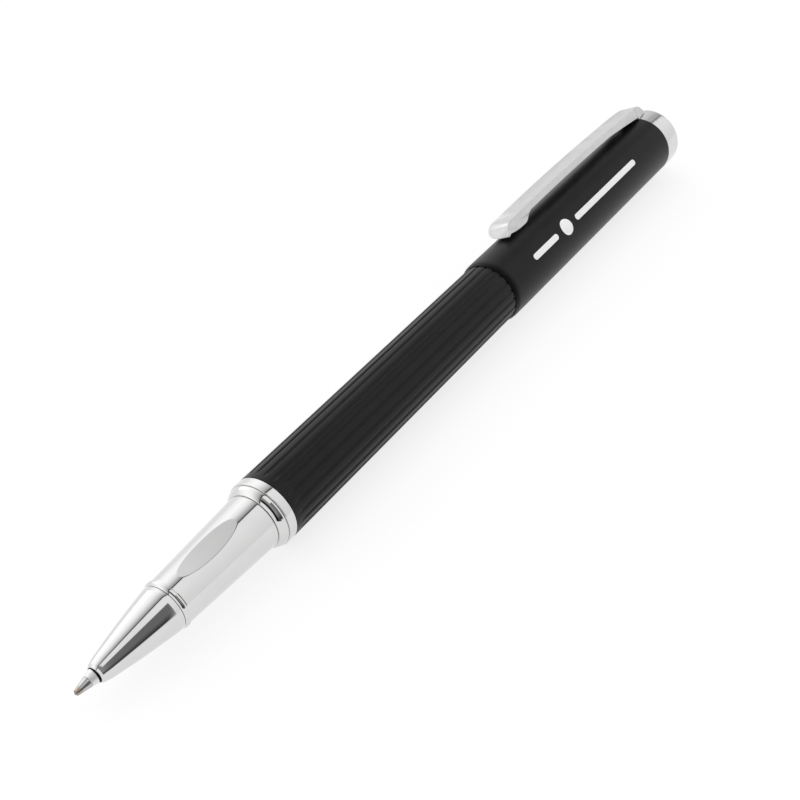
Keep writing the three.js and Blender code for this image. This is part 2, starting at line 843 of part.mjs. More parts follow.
// The clip's side outline: along the outer face, round the root, back under the flange and the lobe,
// and up the front wall.
function clipOutline() {
  const bendFront = CLIP_ROOT_REAR - CLIP_ROOT_BEND;
  const tangFront = CLIP_ROOT_REAR - CLIP_TANG_THICKNESS;
  return [
    ...clipRun(CLIP_FACE_FRONT, bendFront - JOINT_GAP, 0, 8),
    ...clipBend(CLIP_ROOT_BEND, 5),
    [CLIP_ROOT_REAR, CLIP_TANG_HEIGHT],
    [tangFront, CLIP_TANG_HEIGHT],
    [tangFront, CLIP_ROOT_HEIGHT],
    [CLIP_ROOT_FRONT, CLIP_ROOT_HEIGHT],
    ...clipLowerEdge(),
    [CLIP_FRONT, CLIP_TOE_HEIGHT],
    [CLIP_FACE_FRONT - CLIP_BROW, clipFace(CLIP_FACE_FRONT) - CLIP_BROW_DROP],
  ];
}

// The clip's plan outline, which narrows towards the root, as a tall slab.
function clipPlan() {
  const overcut = 1;
  const front = CLIP_FRONT - overcut;
  const rear = CLIP_ROOT_REAR + overcut;
  const side = [
    [front, CLIP_WIDTH / 2],
    [CLIP_TAPER_FRONT, CLIP_WIDTH / 2],
    [CLIP_ROOT_REAR - CLIP_ROOT_BEND / 2, CLIP_ROOT_WIDTH / 2],
    [rear, CLIP_ROOT_WIDTH / 2],
  ];
  const outline = [...side, ...side.map(([station, half]) => [station, -half]).reverse()];
  const height = 2 * CLIP_CREST_HEIGHT;
  return slab(outline, height).rotateX(Math.PI / 2).translate(0, 0, CLIP_CREST_HEIGHT);
}

function clipStrap() {
  const overcut = 1;
  const hollowFloor = CLIP_LOBE_HEIGHT - overcut;
  const wallShift = 0.7 * CLIP_THICKNESS;
  const hollowOutline = [
    [CLIP_FRONT + wallShift, CLIP_TOE_HEIGHT - wallShift],
    [CLIP_FRONT + wallShift, hollowFloor],
    [CLIP_HOLLOW_REAR, hollowFloor],
    ...clipRun(CLIP_HOLLOW_REAR, CLIP_FACE_FRONT, CLIP_THICKNESS, 8),
  ];
  const hollow = slab(hollowOutline, CLIP_WIDTH - 2 * CLIP_THICKNESS);
  const strip = solidOf(slab(clipOutline(), CLIP_WIDTH + overcut)).intersect(solidOf(clipPlan()));
  return geometryOf(strip.subtract(solidOf(hollow)));
}

function piece(name, geometry, finish) {
  const mesh = new THREE.Mesh(geometry, new THREE.MeshStandardMaterial(finish));
  mesh.name = name;
  return mesh;
}

function refill() {
  const group = new THREE.Group();
  group.add(piece("writing_ball", writingBall(), finishes.satinSteel));
  group.add(piece("ball_socket", ballSocket(), finishes.nickelSilver));
  group.add(piece("point_sleeve", pointSleeve(), finishes.satinSteel));
  group.add(piece("refill_nose", refillNose(), finishes.blackPlastic));
  group.add(piece("refill_tube", refillTube(), finishes.satinSteel));
  group.add(piece("ink_reservoir", inkReservoir(), finishes.inkedFibre));
  group.add(piece("feed_rod", feedRod(), finishes.inkedFibre));
  group.add(piece("refill_end_plug", refillEndPlug(), finishes.blackPlastic));
  group.add(piece("refill_spring", refillSpring(), finishes.satinSteel));
  return group;
}

function section() {
  const group = new THREE.Group();
  group.add(piece("nose_cone", noseCone(), finishes.chrome));
  group.add(piece("nose_ring", noseRing(), finishes.chrome));
  group.add(piece("grip_sleeve", gripSleeve(), finishes.chrome));
  group.add(piece("section_collar", sectionCollar(), finishes.chrome));
  group.add(piece("section_core", sectionCore(), finishes.brass));
  group.add(piece("seal_ring", sealRing(), finishes.blackRubber));
  return group;
}

function barrel() {
  const group = new THREE.Group();
  group.add(piece("barrel_band", barrelBand(), finishes.chrome));
  group.add(piece("barrel_tube", barrelTube(), finishes.blackLacquer));
  group.add(piece("barrel_insert", barrelInsert(), finishes.brass));
  group.add(piece("barrel_end_plug", barrelEndPlug(), finishes.blackPlastic));
  return group;
}

function cap() {
  const group = new THREE.Group();
  group.add(piece("cap_tube", capTube(), finishes.blackLacquer));
  group.add(piece("inner_cap", innerCap(), finishes.whitePlastic));
  group.add(piece("cap_bush", capBush(), finishes.brass));
  group.add(piece("cap_end_band", capEndBand(), finishes.chrome));
  group.add(piece("finial_screw", finialScrew(), finishes.satinSteel));
  group.add(piece("finial_disc", finialDisc(), finishes.blackLacquer));
  const clipFrame = new THREE.Group();
  clipFrame.rotation.x = -CLIP_LEAN;
  clipFrame.add(piece("clip", clipStrap(), finishes.satinSteel));
  group.add(clipFrame);
  return group;
}

const pen = new THREE.Group();
const axisHeight = END_BAND_RADIUS * Math.cos(Math.PI / SHOWN);
pen.position.set(-PEN_LENGTH / 2, 0, axisHeight);
pen.add(refill(), section(), barrel(), cap());

const part = new THREE.Group();
part.add(pen);

export default part;
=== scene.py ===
import math

import bmesh
import bpy
from mathutils import Matrix, Vector


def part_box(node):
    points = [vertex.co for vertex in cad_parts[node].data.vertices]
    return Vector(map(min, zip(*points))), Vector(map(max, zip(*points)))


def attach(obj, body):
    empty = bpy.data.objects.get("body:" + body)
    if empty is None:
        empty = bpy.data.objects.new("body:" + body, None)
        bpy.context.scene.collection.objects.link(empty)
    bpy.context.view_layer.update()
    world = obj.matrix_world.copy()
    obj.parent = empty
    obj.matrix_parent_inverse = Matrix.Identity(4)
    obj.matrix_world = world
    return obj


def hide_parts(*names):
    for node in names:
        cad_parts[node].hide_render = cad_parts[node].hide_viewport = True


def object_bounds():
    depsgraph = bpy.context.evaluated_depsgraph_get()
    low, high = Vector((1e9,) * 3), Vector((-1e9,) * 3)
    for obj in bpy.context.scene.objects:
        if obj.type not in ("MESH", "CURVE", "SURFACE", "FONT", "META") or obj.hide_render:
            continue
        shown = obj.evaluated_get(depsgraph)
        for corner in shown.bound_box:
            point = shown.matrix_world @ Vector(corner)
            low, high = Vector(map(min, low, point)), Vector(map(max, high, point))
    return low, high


# Looks of a metal rollerball pen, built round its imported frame. The row frame is in metres, with +X
# from the writing tip to the end of the posted cap and +Z up. Outlines are in millimetres: stations
# along the pen from the front of the ball, and radii or heights from the pen's axis.
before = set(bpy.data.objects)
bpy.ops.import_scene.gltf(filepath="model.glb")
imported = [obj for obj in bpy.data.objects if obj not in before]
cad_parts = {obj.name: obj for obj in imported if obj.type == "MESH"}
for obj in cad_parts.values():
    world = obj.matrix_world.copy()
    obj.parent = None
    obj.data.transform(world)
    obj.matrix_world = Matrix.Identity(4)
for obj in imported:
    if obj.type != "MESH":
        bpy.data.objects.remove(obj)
cad_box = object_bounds()

MM = 0.001
TIP_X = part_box("writing_ball")[0].x
AXIS_Z = sum(corner.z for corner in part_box("refill_tube")) / 2

# Facets round a turned piece, round a small one, and steps in a rounded corner.
FACETS = 160
SMALL_FACETS = 64
CORNER_STEPS = 5
SHARP_ANGLE = math.radians(40)
LEAST_BEND = math.radians(12)
LARGEST_ROUNDING_SHARE = 0.45

# Roundings of a piece's edges.
EDGE = 0.05
FINE_EDGE = 0.02

# The nose.
MOUTH_RADIUS = 1.21
NOSE_CONE_FRONT = 4.3
NOSE_FRONT_RADIUS = 1.72
NOSE_REAR_RADIUS = 3.75
NOSE_BULGE = 0.12
NOSE_RING_RADIUS = 3.98
TENON_RADIUS = 3.2
JOINT_GAP = 0.05

# The refill.
SOCKET_REAR = 2.3
POINT_RADIUS = 1.15
REFILL_RADIUS = 3.05
REFILL_BORE = 2.55
REFILL_SHOULDER = 21.75
FEED_RADIUS = 0.5
FIT = 0.1

# The grip and its finger rests.
GRIP_FRONT_RADIUS = 3.8
GRIP_REAR_RADIUS = 4.55
GRIP_FRONT_BORE = 3.35
GRIP_CORE_BORE = 4.0
GRIP_CORE_FRONT = 31.7
REST_STATION = 25.7
REST_DEPTH = 0.34
REST_WHEEL_RADIUS = 51
REST_LEAN = math.radians(6)

# The barrel and its flutes.
BARREL_RADIUS = 5.5
BARREL_RADIUS_AT_RIM = 5.36
BARREL_REAR_RADIUS = 5.1
BARREL_BORE = 4.95
BARREL_REAR_BORE = 4.65
FLUTE_COUNT = 22
FLUTE_DEPTH = 0.2
FLUTE_SHARE = 0.36
FLUTE_MARGIN = 0.7
FLUTE_RUN_OUT = 2.5
FLUTE_DEPTH_AT_RIM = 0.1
FLUTE_FADE = 3
FLUTE_BEND = 0.85
FLUTE_EDGE = 1.1765

# The thread on the section's core.
SECTION_BORE = 3.25
THREAD_PITCH = 1
THREAD_TURNS = 4
THREAD_FRONT = 38.7
THREAD_ROOT_RADIUS = 3.9
THREAD_CREST_RADIUS = 4.4

# The clip: heights are above the pen's axis.
CLIP_LEAN = math.radians(30.7)
CLIP_TOE = (106.5, 6.15)
CLIP_BROW_CORNER = (106.95, 8.1)
CLIP_BROW_REAR = 108.4
CLIP_TONGUE_CORNER = (1.77, 1.3)
CLIP_CREST_STATION = 125.4
CLIP_CREST_HEIGHT = 8.42
CLIP_BOW_RADIUS = 627
CLIP_WIDTH = 4.24
CLIP_ROOT_WIDTH = 3.2
CLIP_TAPER_FRONT = 152
CLIP_THICKNESS = 0.6
CLIP_FLANGE = 1.19
CLIP_ROOT_FLANGE = 1.9
CLIP_FLANGE_BEND = 143
CLIP_LOBE_FRONT = 107.15
CLIP_LOBE_STATION = 111
CLIP_LOBE_REAR = 111.9
CLIP_LOBE_END = 114.7
CLIP_LOBE_HEIGHT = 5.89
CLIP_LOBE_CURVE = 14.2
CLIP_HOLLOW_REAR = 149
CLIP_ROOT_FRONT = 153.6
CLIP_ROOT_CLEARANCE = 0.03
CLIP_ROOT_REAR = 156.4
CLIP_ROOT_BEND = 2.6
CLIP_TANG_HEIGHT = 4.6
CLIP_TANG_THICKNESS = 0.8
CLIP_TANG_WIDTH = 2.4
CLIP_EDGE = 0.16

# The cap and its end band.
CAP_RADIUS = 5.67
CAP_BORE = 5.42
END_BAND_RADIUS = 5.69
END_BAND_ROUNDING = 1.2
SCREW_HOLE = 1.3
FINIAL_RADIUS = 3.6
FINIAL_DOME = 0.3
SLOT_CLEARANCE = 0.08

# The plain printed ornament on the cap: angles are from the top towards -Y.
PRINT_ANGLE = math.radians(43)
PRINT_RISE = 0.012
PRINT_BAR_FRONT = (106.5, 114.4)
PRINT_BAR_REAR = (120.6, 142.5)
PRINT_BAR_HALF = 0.55
PRINT_DISC_STATION = 117.5
PRINT_DISC_RADIUS = 1.5

# The studio. The camera's place is from the tip of the pen.
CAMERA_FROM_TIP = (-66.126, -94.771, 148.358)
CAMERA_FORWARD = (0.61010, 0.41802, -0.67308)
CAMERA_UP = (0.5552, 0.3804, 0.7396)
CAMERA_LENS = 64.47
CAMERA_SENSOR = 36
SKY_STRENGTH = 1.4
WHITE = (1, 1, 1, 1)
FLOOR_REACH = 3.0
FLOOR_GLOW = 0.79
LAMP_PLACE = (0.1, 0.2, 1.2)
LAMP_SIZE = 1.2
LAMP_POWER = 4


def span(node):
    """The stations of a node's front and rear."""
    low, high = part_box(node)
    return (low.x - TIP_X) / MM, (high.x - TIP_X) / MM


def place(station, across, height):
    """The point in the row frame, from millimetres along, across and above the pen's axis."""
    return Vector((TIP_X + station * MM, across * MM, AXIS_Z + height * MM))


def around(station, radius, angle):
    """The point at a station, a radius and an angle from the top towards -Y."""
    return place(station, -radius * math.sin(angle), radius * math.cos(angle))


def lerp(start, end, share):
    return start + (end - start) * share


def shares(steps):
    """Even shares from 0 to 1."""
    return [i / steps for i in range(steps + 1)]


def quarter_turns(steps):
    return [math.pi / 2 * share for share in shares(steps)]


def eased(share):
    """A share that starts and ends slowly."""
    return share * share * (3 - 2 * share)


def mesh_from(name, points, faces, sharp_angle=SHARP_ANGLE):
    """A smooth-shaded closed mesh whose faces point out."""
    mesh = bpy.data.meshes.new(name)
    work = bmesh.new()
    corners = [work.verts.new(point) for point in points]
    for face in faces:
        work.faces.new([corners[i] for i in face])
    bmesh.ops.recalc_face_normals(work, faces=work.faces)
    work.to_mesh(mesh)
    work.free()
    mesh.shade_smooth()
    mesh.set_sharp_from_angle(angle=sharp_angle)
    return mesh


def bent(start, corner, end, steps):
    """A curve from start to end that leaves and arrives along the lines to the corner."""
    start, corner, end = Vector(start), Vector(corner), Vector(end)
    return [
        tuple(start.lerp(corner, share).lerp(corner.lerp(end, share), share))
        for share in shares(steps)
    ]


def rounded(outline):
    """The outline with each corner rounded. A corner is (station, radius) or (station, radius, rounding)."""
    corners = [(Vector(corner[:2]), corner[2] if len(corner) > 2 else EDGE) for corner in outline]
    count = len(corners)
    made = []
    for i, (corner, rounding) in enumerate(corners):
        before = corners[i - 1][0] - corner
        after = corners[(i + 1) % count][0] - corner
        reach = min(rounding, LARGEST_ROUNDING_SHARE * min(before.length, after.length))
        on_axis = corner.y == 0
        bend = math.pi - before.angle(after, 0)
        if on_axis or rounding == 0 or bend < LEAST_BEND:
            made.append(tuple(corner))
            continue
        start = corner + before.normalized() * reach
        end = corner + after.normalized() * reach
        made += bent(start, corner, end, CORNER_STEPS)
    return made


def turned_mesh(name, outline, facets=FACETS):
    """A solid of revolution. An outline that starts and ends on the axis is solid, others have a bore."""
    points, faces = [], []
    rings = []
    for station, radius in outline:
        if radius == 0:
            rings.append([len(points)])
            points.append(around(station, 0, 0))
            continue
        rings.append(list(range(len(points), len(points) + facets)))
        points.extend(around(station, radius, 2 * math.pi * i / facets) for i in range(facets))
    closed = outline[0][1] > 0
    pairs = list(zip(rings, rings[1:] + rings[:1])) if closed else list(zip(rings, rings[1:]))
    for here, there in pairs:
        for i in range(facets):
            j = (i + 1) % facets
            near = [here[i % len(here)], here[j % len(here)]]
            far = [there[j % len(there)], there[i % len(there)]]
            faces.append(list(dict.fromkeys(near + far)))
    return mesh_from(name, points, [face for face in faces if len(face) > 2])


def bulged_cone(front, front_radius, rear, rear_radius, bulge, steps=16):
    """Points along a cone whose side swells a little in the middle. They aren't rounded again."""
    made = []
    for share in shares(steps):
        swell = 4 * bulge * share * (1 - share)
        made.append((lerp(front, rear, share), lerp(front_radius, rear_radius, share) + swell, 0))
    return made


def quarter_round(rear, radius, size, steps=12):
    """A rounded rear corner as a quarter of a circle."""
    centre = rear - size
    return [
        (centre + size * math.sin(turn), radius - size + size * math.cos(turn), 0)
        for turn in quarter_turns(steps)
    ]


def ball_outline():
    """Half a circle, from the front of the ball to its rear."""
    front, rear = span("writing_ball")
    radius = (rear - front) / 2
    turns = [math.pi * share for share in shares(24)]
    middle = [(front + radius * (1 - math.cos(turn)), radius * math.sin(turn), 0) for turn in turns[1:-1]]
    return [(front, 0), *middle, (rear, 0)]


def ring_outline(node, bore):
    """A ring of round section, such as the seal."""
    front, rear = span(node)
    radius = (rear - front) / 2
    turns = [2 * math.pi * share for share in shares(24)[:-1]]
    return [
        (front + radius * (1 - math.cos(turn)), bore + radius * (1 + math.sin(turn)), 0)
        for turn in turns
    ]


def tube_outline(node, bore, radius, edge=EDGE):
    front, rear = span(node)
    return [(front, bore), (front, radius, edge), (rear, radius, edge), (rear, bore)]


def socket_outline():
    """The cone behind the ball: the ball's seat, the ink's hole, the wick's bore and a spigot."""
    front, rear = span("ball_socket")
    ball_middle = sum(span("writing_ball")) / 2
    seat, lip, hole, wick_bore = 0.39, 0.34, 0.15, 0.35
    cone_front, cone_rear, spigot = 0.42, 0.85, 0.6
    seat_rear, hole_front, hole_rear, wick_front = 0.75, 0.95, 1.3, 1.5
    return [
        (ball_middle, seat, 0),
        (front, lip, FINE_EDGE),
        (front, cone_front, EDGE),
        (SOCKET_REAR - EDGE, cone_rear, FINE_EDGE),
        (SOCKET_REAR, cone_rear - FINE_EDGE, FINE_EDGE),
        (SOCKET_REAR, spigot),
        (rear, spigot),
        (rear, wick_bore),
        (wick_front, wick_bore),
        (hole_rear, hole),
        (hole_front, hole),
        (seat_rear, seat),
    ]


def sleeve_outline():
    """The tube behind the socket, which opens out from the cone's size to the point's."""
    rear = span("point_sleeve")[1]
    front = SOCKET_REAR + 0.03
    bore, front_radius, rear_radius = 0.66, 0.84, 1.0
    full_station, step_station = 3.6, 8.9
    return [
        (front, bore),
        (front, front_radius, FINE_EDGE),
        (front + EDGE, front_radius + FINE_EDGE, FINE_EDGE),
        (full_station, POINT_RADIUS, 0.15),
        (step_station, POINT_RADIUS),
        (step_station, rear_radius),
        (rear, rear_radius),
        (rear, bore),
    ]


def refill_nose_outline():
    """The plug in the front of the refill: it holds the sleeve, and its shoulder meets the nose."""
    front, rear = span("refill_nose")
    plug_front = span("refill_tube")[0] - JOINT_GAP
    sleeve_rear = span("point_sleeve")[1]
    sleeve_bore, wick_bore = 1.06, FEED_RADIUS + FIT
    neck, neck_rear, body, body_front = 1.5, 1.7, 2.35, 15.5
    plug, edge = REFILL_BORE - FIT, 0.15
    return [
        (front, sleeve_bore),
        (front, neck, edge),
        (sleeve_rear, neck_rear, 2 * edge),
        (body_front, body, 2 * edge),
        (REFILL_SHOULDER, body, edge),
        (REFILL_SHOULDER, REFILL_RADIUS, edge),
        (plug_front, REFILL_RADIUS),
        (plug_front, plug),
        (rear, plug),
        (rear, wick_bore),
        (sleeve_rear + 0.4, wick_bore),
        (sleeve_rear + 0.4, sleeve_bore),
    ]


def reservoir_outline():
    """The fibre that holds the ink, with a hole for the wick in its front."""
    front, rear = span("ink_reservoir")
    hole_rear = span("feed_rod")[1] + 0.4
    radius, edge = REFILL_BORE - FIT, 0.2
    return [
        (hole_rear, 0),
        (hole_rear, FEED_RADIUS + FIT),
        (front, FEED_RADIUS + FIT),
        (front, radius, edge),
        (rear, radius, edge),
        (rear, 0),
    ]


def feed_rod_outline():
    front, rear = span("feed_rod")
    return [(front, 0), (front, FEED_RADIUS), (rear, FEED_RADIUS), (rear, 0)]


def refill_plug_outline():
    """The vented plug that closes the refill, with a flange outside the tube."""
    front, rear = span("refill_end_plug")
    vent, plug, flange = 0.5, REFILL_BORE - FIT, 1
    return [
        (front, vent),
        (front, plug),
        (rear - flange, plug),
        (rear - flange, REFILL_RADIUS),
        (rear, REFILL_RADIUS, 0.3),
        (rear, vent, 0.1),
    ]


def nose_outline():
    """The nose: a rounded lip round the mouth, a slightly swollen cone, and a tenon inside the grip."""
    front, tenon_rear = span("nose_cone")
    rear = span("nose_ring")[0] - JOINT_GAP
    lip, lip_rear, lip_rear_radius = 1.28, 3.95, 1.55
    edge, edge_drop = 0.12, 0.07
    refill_bore, tip_bore = 2.65, 1.95
    refill_bore_front, tip_bore_rear, tip_bore_front, mouth_rear = 15, 12.4, 8.6, 7.8
    cone = bulged_cone(
        NOSE_CONE_FRONT, NOSE_FRONT_RADIUS, rear - edge, NOSE_REAR_RADIUS, NOSE_BULGE)
    return [
        (front, MOUTH_RADIUS, FINE_EDGE),
        (front, lip, EDGE),
        (lip_rear, lip_rear_radius, 2 * EDGE),
        *cone[1:],
        (rear, NOSE_REAR_RADIUS - edge_drop, EDGE),
        (rear, TENON_RADIUS),
        (tenon_rear, TENON_RADIUS),
        (tenon_rear, refill_bore),
        (refill_bore_front, refill_bore),
        (tip_bore_rear, tip_bore),
        (tip_bore_front, tip_bore),
        (mouth_rear, MOUTH_RADIUS),
    ]


def bead_outline():
    """The nose's ring, which swells slowly away from the nose and drops sharply to the grip."""
    front, rear = span("nose_ring")
    swell, crest, edge = 0.29, 17.5, 0.09
    rise = [
        (lerp(front, crest, share), NOSE_RING_RADIUS - swell * (1 - share) ** 2, 0)
        for share in shares(8)
    ]
    return [(front, GRIP_FRONT_BORE), *rise, (rear, NOSE_RING_RADIUS, edge), (rear, GRIP_FRONT_BORE)]


def collar_outline():
    """The step behind the grip, which flares from a groove up to the barrel's band."""
    front, rear = span("section_collar")
    groove, groove_radius, flare_front, flare_rear, bulge = 0.07, 4.7, 4.79, 5.33, 0.1
    cover, edge = 0.08, 0.14
    flare = bulged_cone(front + FINE_EDGE, flare_front, rear - edge, flare_rear, bulge, 8)
    return [
        (front - groove, GRIP_CORE_BORE),
        (front - groove, groove_radius, 0.06),
        *flare[1:],
        (rear + cover, flare_rear - 0.04, 0.1),
        (rear + cover, GRIP_CORE_BORE),
    ]


def barrel_plug_outline():
    """The cup that closes the barrel and takes the refill's spring."""
    front, rear = span("barrel_end_plug")
    cup_floor, cup, plug, flange = 118.4, 2.8, 4.5, 5.05
    flange_front, edge = 119.25, 0.15
    return [
        (cup_floor, 0),
        (cup_floor, cup),
        (front, cup, edge),
        (front, plug, edge),
        (flange_front, plug),
        (flange_front, flange),
        (rear, flange, 4 * edge),
        (rear, 0),
    ]


def cap_outline():
    """The cap's tube, with a rounded lip at its rim."""
    front, rear = span("cap_tube")
    chamfer, lip, lip_drop, full = 0.3, 0.8, 0.02, 1.4
    return [
        (front + chamfer, CAP_BORE, EDGE),
        (front, CAP_BORE + 0.03, FINE_EDGE),
        (front + lip, CAP_RADIUS - lip_drop, 0.35),
        (front + full, CAP_RADIUS, 0),
        (rear, CAP_RADIUS, 0.03),
        (rear, CAP_BORE),
    ]


def inner_cap_outline():
    """The liner, whose tapered hollow closes round the nose when the cap is on the front."""
    front, rear = span("inner_cap")
    hollow, hollow_middle, hollow_rear = 3.85, 3.3, 2.6
    middle, floor, flange_rear = 132, 138.5, 123.5
    flange, body = CAP_BORE - FIT, 4.7
    return [
        (floor, 0),
        (floor, hollow_rear, 0.5),
        (middle, hollow_middle, 0.4),
        (front, hollow, 0.2),
        (front, flange, 0.15),
        (flange_rear, flange),
        (flange_rear, body, 0.2),
        (rear, body, 0.4),
        (rear, 0),
    ]


def finial_outline():
    """The disc in the cap's end, with a low dome."""
    front, rear = span("finial_disc")
    steps, side, edge = 10, 0.06, 0.08
    dome_radius = FINIAL_RADIUS * 0.97 / math.sin(1)
    arc = [
        (rear - FINIAL_DOME * (1 - math.cos(turn)) / (1 - math.cos(1)), dome_radius * math.sin(turn), 0)
        for turn in (1 - i / steps for i in range(steps))
    ]
    shoulder = rear - FINIAL_DOME - side
    return [(front, 0), (front, FINIAL_RADIUS), (shoulder, FINIAL_RADIUS, edge), *arc, (rear, 0)]


# What is turned: the body it rides on, its finish, its outline and its facets.
TURNED = {
    "writing_ball": ("ball", "ball_steel", ball_outline(), SMALL_FACETS),
    "ball_socket": ("refill", "point_metal", socket_outline(), SMALL_FACETS),
    "point_sleeve": ("refill", "sleeve_metal", sleeve_outline(), SMALL_FACETS),
    "refill_nose": ("refill", "black_plastic", refill_nose_outline(), SMALL_FACETS),
    "refill_tube": (
        "refill", "satin_steel", tube_outline("refill_tube", REFILL_BORE, REFILL_RADIUS, 0.12),
        SMALL_FACETS),
    "ink_reservoir": ("refill", "inked_fibre", reservoir_outline(), SMALL_FACETS),
    "feed_rod": ("refill", "inked_fibre", feed_rod_outline(), SMALL_FACETS),
    "refill_end_plug": ("refill", "black_plastic", refill_plug_outline(), SMALL_FACETS),
    "nose_cone": ("section", "chrome", nose_outline(), FACETS),
    "nose_ring": ("section", "chrome", bead_outline(), FACETS),
    "section_collar": ("section", "chrome", collar_outline(), FACETS),
    "seal_ring": ("section", "black_rubber", ring_outline("seal_ring", 3.95), SMALL_FACETS),
    "barrel_band": (
        "barrel", "chrome", tube_outline("barrel_band", BARREL_BORE, BARREL_RADIUS, 0.12), FACETS),
    "barrel_end_plug": ("barrel", "black_plastic", barrel_plug_outline(), FACETS),
    "cap_tube": ("cap", "black_cap", cap_outline(), FACETS),
    "inner_cap": ("cap", "white_plastic", inner_cap_outline(), FACETS),
    "cap_bush": ("cap", "brass", tube_outline("cap_bush", SCREW_HOLE, CAP_BORE - FIT, 0.2), SMALL_FACETS),
    "finial_disc": ("cap", "black_lacquer", finial_outline(), FACETS),
}


# Materials. Object coordinates are the row frame in metres, so a noise scale is in cycles a metre.

EVEN = (1, 1, 1)
ALONG = (0.02, 1, 1)
ROUND = (1, 0.04, 0.04)

# Noise mostly lies between these two values.
NOISE_LOW = 0.3
NOISE_HIGH = 0.7

# The painted shade in the nose's mouth, a near-black band on the point, reaches further forward towards -Y
# and the top.
MOUTH_LEAN = (-0.13, 0.04)


def grey(value):
    return (value, value, value)


def shader(name):
    """A new node material: its tree, its Principled shader and its object coordinates."""
    material = bpy.data.materials.new(name)
    material.use_nodes = True
    tree = material.node_tree
    coordinates = tree.nodes.new("ShaderNodeTexCoord").outputs["Object"]
    return material, tree, tree.nodes["Principled BSDF"], coordinates


def feed(tree, socket, value):
    """Sets a socket, or links it to another one."""
    if isinstance(value, bpy.types.NodeSocket):
        tree.links.new(value, socket)
    else:
        socket.default_value = value


def node(tree, kind, inputs):
    """A new shader node with these inputs set or linked."""
    made = tree.nodes.new("ShaderNode" + kind)
    for name, value in inputs.items():
        feed(tree, made.inputs[name], value)
    return made


def noise(tree, coordinates, scale, stretch=EVEN, detail=4):
    """Noise whose features are stretched along an axis by a small factor there."""
    mapping = node(tree, "Mapping", {"Vector": coordinates, "Scale": stretch})
    stretched = mapping.outputs["Vector"]
    return node(tree, "TexNoise", {"Vector": stretched, "Scale": scale, "Detail": detail}).outputs["Fac"]


def ranged(tree, value, low, high, value_low=NOISE_LOW, value_high=NOISE_HIGH):
    """A value, which is a noise unless its range is given, spread from low to high."""
    made = node(tree, "MapRange", {
        "Value": value, "From Min": value_low, "From Max": value_high, "To Min": low, "To Max": high})
    return made.outputs["Result"]


def ramped(tree, value, stops):
    """A colour that follows (value, colour) pairs."""
    made = node(tree, "ValToRGB", {"Fac": value})
    elements = made.color_ramp.elements
    while len(elements) < len(stops):
        elements.new(0.5)
    for element, (position, colour) in zip(elements, stops):
        element.position = position
        element.color = (*colour, 1)
    return made.outputs["Color"]


def tinted(tree, factor, dark, light):
    """A colour between dark and light, by the noise."""
    return ramped(tree, factor, ((NOISE_LOW, dark), (NOISE_HIGH, light)))


def bumped(tree, factor, strength, depth):
    """A bump of that depth in metres."""
    return node(tree, "Bump", {"Height": factor, "Strength": strength, "Distance": depth}).outputs["Normal"]


def surface(name, dark, light, rough, grain, stretch=EVEN, metallic=0, bump=0, depth=1e-5, specular=0.5):
    """A material whose roughness and bump follow a fine noise, and its colour a broad one."""
    material, tree, principled, coordinates = shader(name)
    breadth = 12
    fine = noise(tree, coordinates, grain, stretch)
    broad = noise(tree, coordinates, grain / breadth, detail=2)
    principled.inputs["Metallic"].default_value = metallic
    principled.inputs["Specular IOR Level"].default_value = specular
    feed(tree, principled.inputs["Base Color"], tinted(tree, broad, dark, light))
    feed(tree, principled.inputs["Roughness"], ranged(tree, fine, *rough))
    if bump:
        feed(tree, principled.inputs["Normal"], bumped(tree, fine, bump, depth))
    return material


def along_pen(tree, coordinates, levels, lean=(0, 0)):
    """A colour that follows (station, colour) pairs along the pen, sooner on the side it leans to."""
    across, up = lean
    last = levels[-1][0]
    start = TIP_X + up * AXIS_Z
    dot = tree.nodes.new("ShaderNodeVectorMath")
    dot.operation = "DOT_PRODUCT"
    dot.inputs[1].default_value = (1, across, up)
    feed(tree, dot.inputs[0], coordinates)
    reach = ranged(tree, dot.outputs["Value"], 0, 1, start, start + last * MM)
    return ramped(tree, reach, [(station / last, colour) for station, colour in levels])


def point_surface(name, rough, sleeve):
    """Turned metal: tan at the ball, grey behind it, and painted near-black in the nose's mouth as painted
    shade.
    """
    material, tree, principled, coordinates = shader(name)
    tan = (0.43, 0.37, 0.31)
    socket = grey(0.5)
    # Painted shade: near-black colour on the point where it enters the nose's mouth, where the gap's shade
    # falls.
    painted_mouth_shade = grey(0.008)
    levels = (
        (0, tan), (0.7, tan), (1.2, socket), (SOCKET_REAR, socket), (SOCKET_REAR + EDGE, sleeve),
        (3.41, sleeve), (3.47, painted_mouth_shade), (4, painted_mouth_shade),
    )
    rings = noise(tree, coordinates, 9000, ROUND)
    principled.inputs["Metallic"].default_value = 1
    feed(tree, principled.inputs["Base Color"], along_pen(tree, coordinates, levels, MOUTH_LEAN))
    feed(tree, principled.inputs["Roughness"], ranged(tree, rings, *rough))
    feed(tree, principled.inputs["Normal"], bumped(tree, rings, 0.04, 2e-6))
    return material


def cap_surface(name):
    """Satin lacquer with its reflection painted out at the cap's rim as painted shade beside the gap, that
    shines a little less towards the end band.
    """
    material = surface(name, *LACQUER, (0.36, 0.42), 3400, bump=0.02, depth=3e-6, specular=0.2)
    tree = material.node_tree
    principled = tree.nodes["Principled BSDF"]
    coordinates = tree.nodes.new("ShaderNodeTexCoord").outputs["Object"]
    # Painted shade: no specular tint at the cap's rim, so the rim shows as a dark band like the shadow in
    # the gap at the barrel.
    rim_painted_shade, shiny = grey(0), grey(1)
    levels = (
        (0, rim_painted_shade), (99.1, rim_painted_shade), (99.6, shiny), (118, grey(0.9)), (135, grey(0.7)), (156, grey(0.65)),
    )
    feed(tree, principled.inputs["Specular Tint"], along_pen(tree, coordinates, levels))
    return material


CHROME = (grey(0.67), (0.69, 0.69, 0.685))
LACQUER = (grey(0.005), grey(0.007))

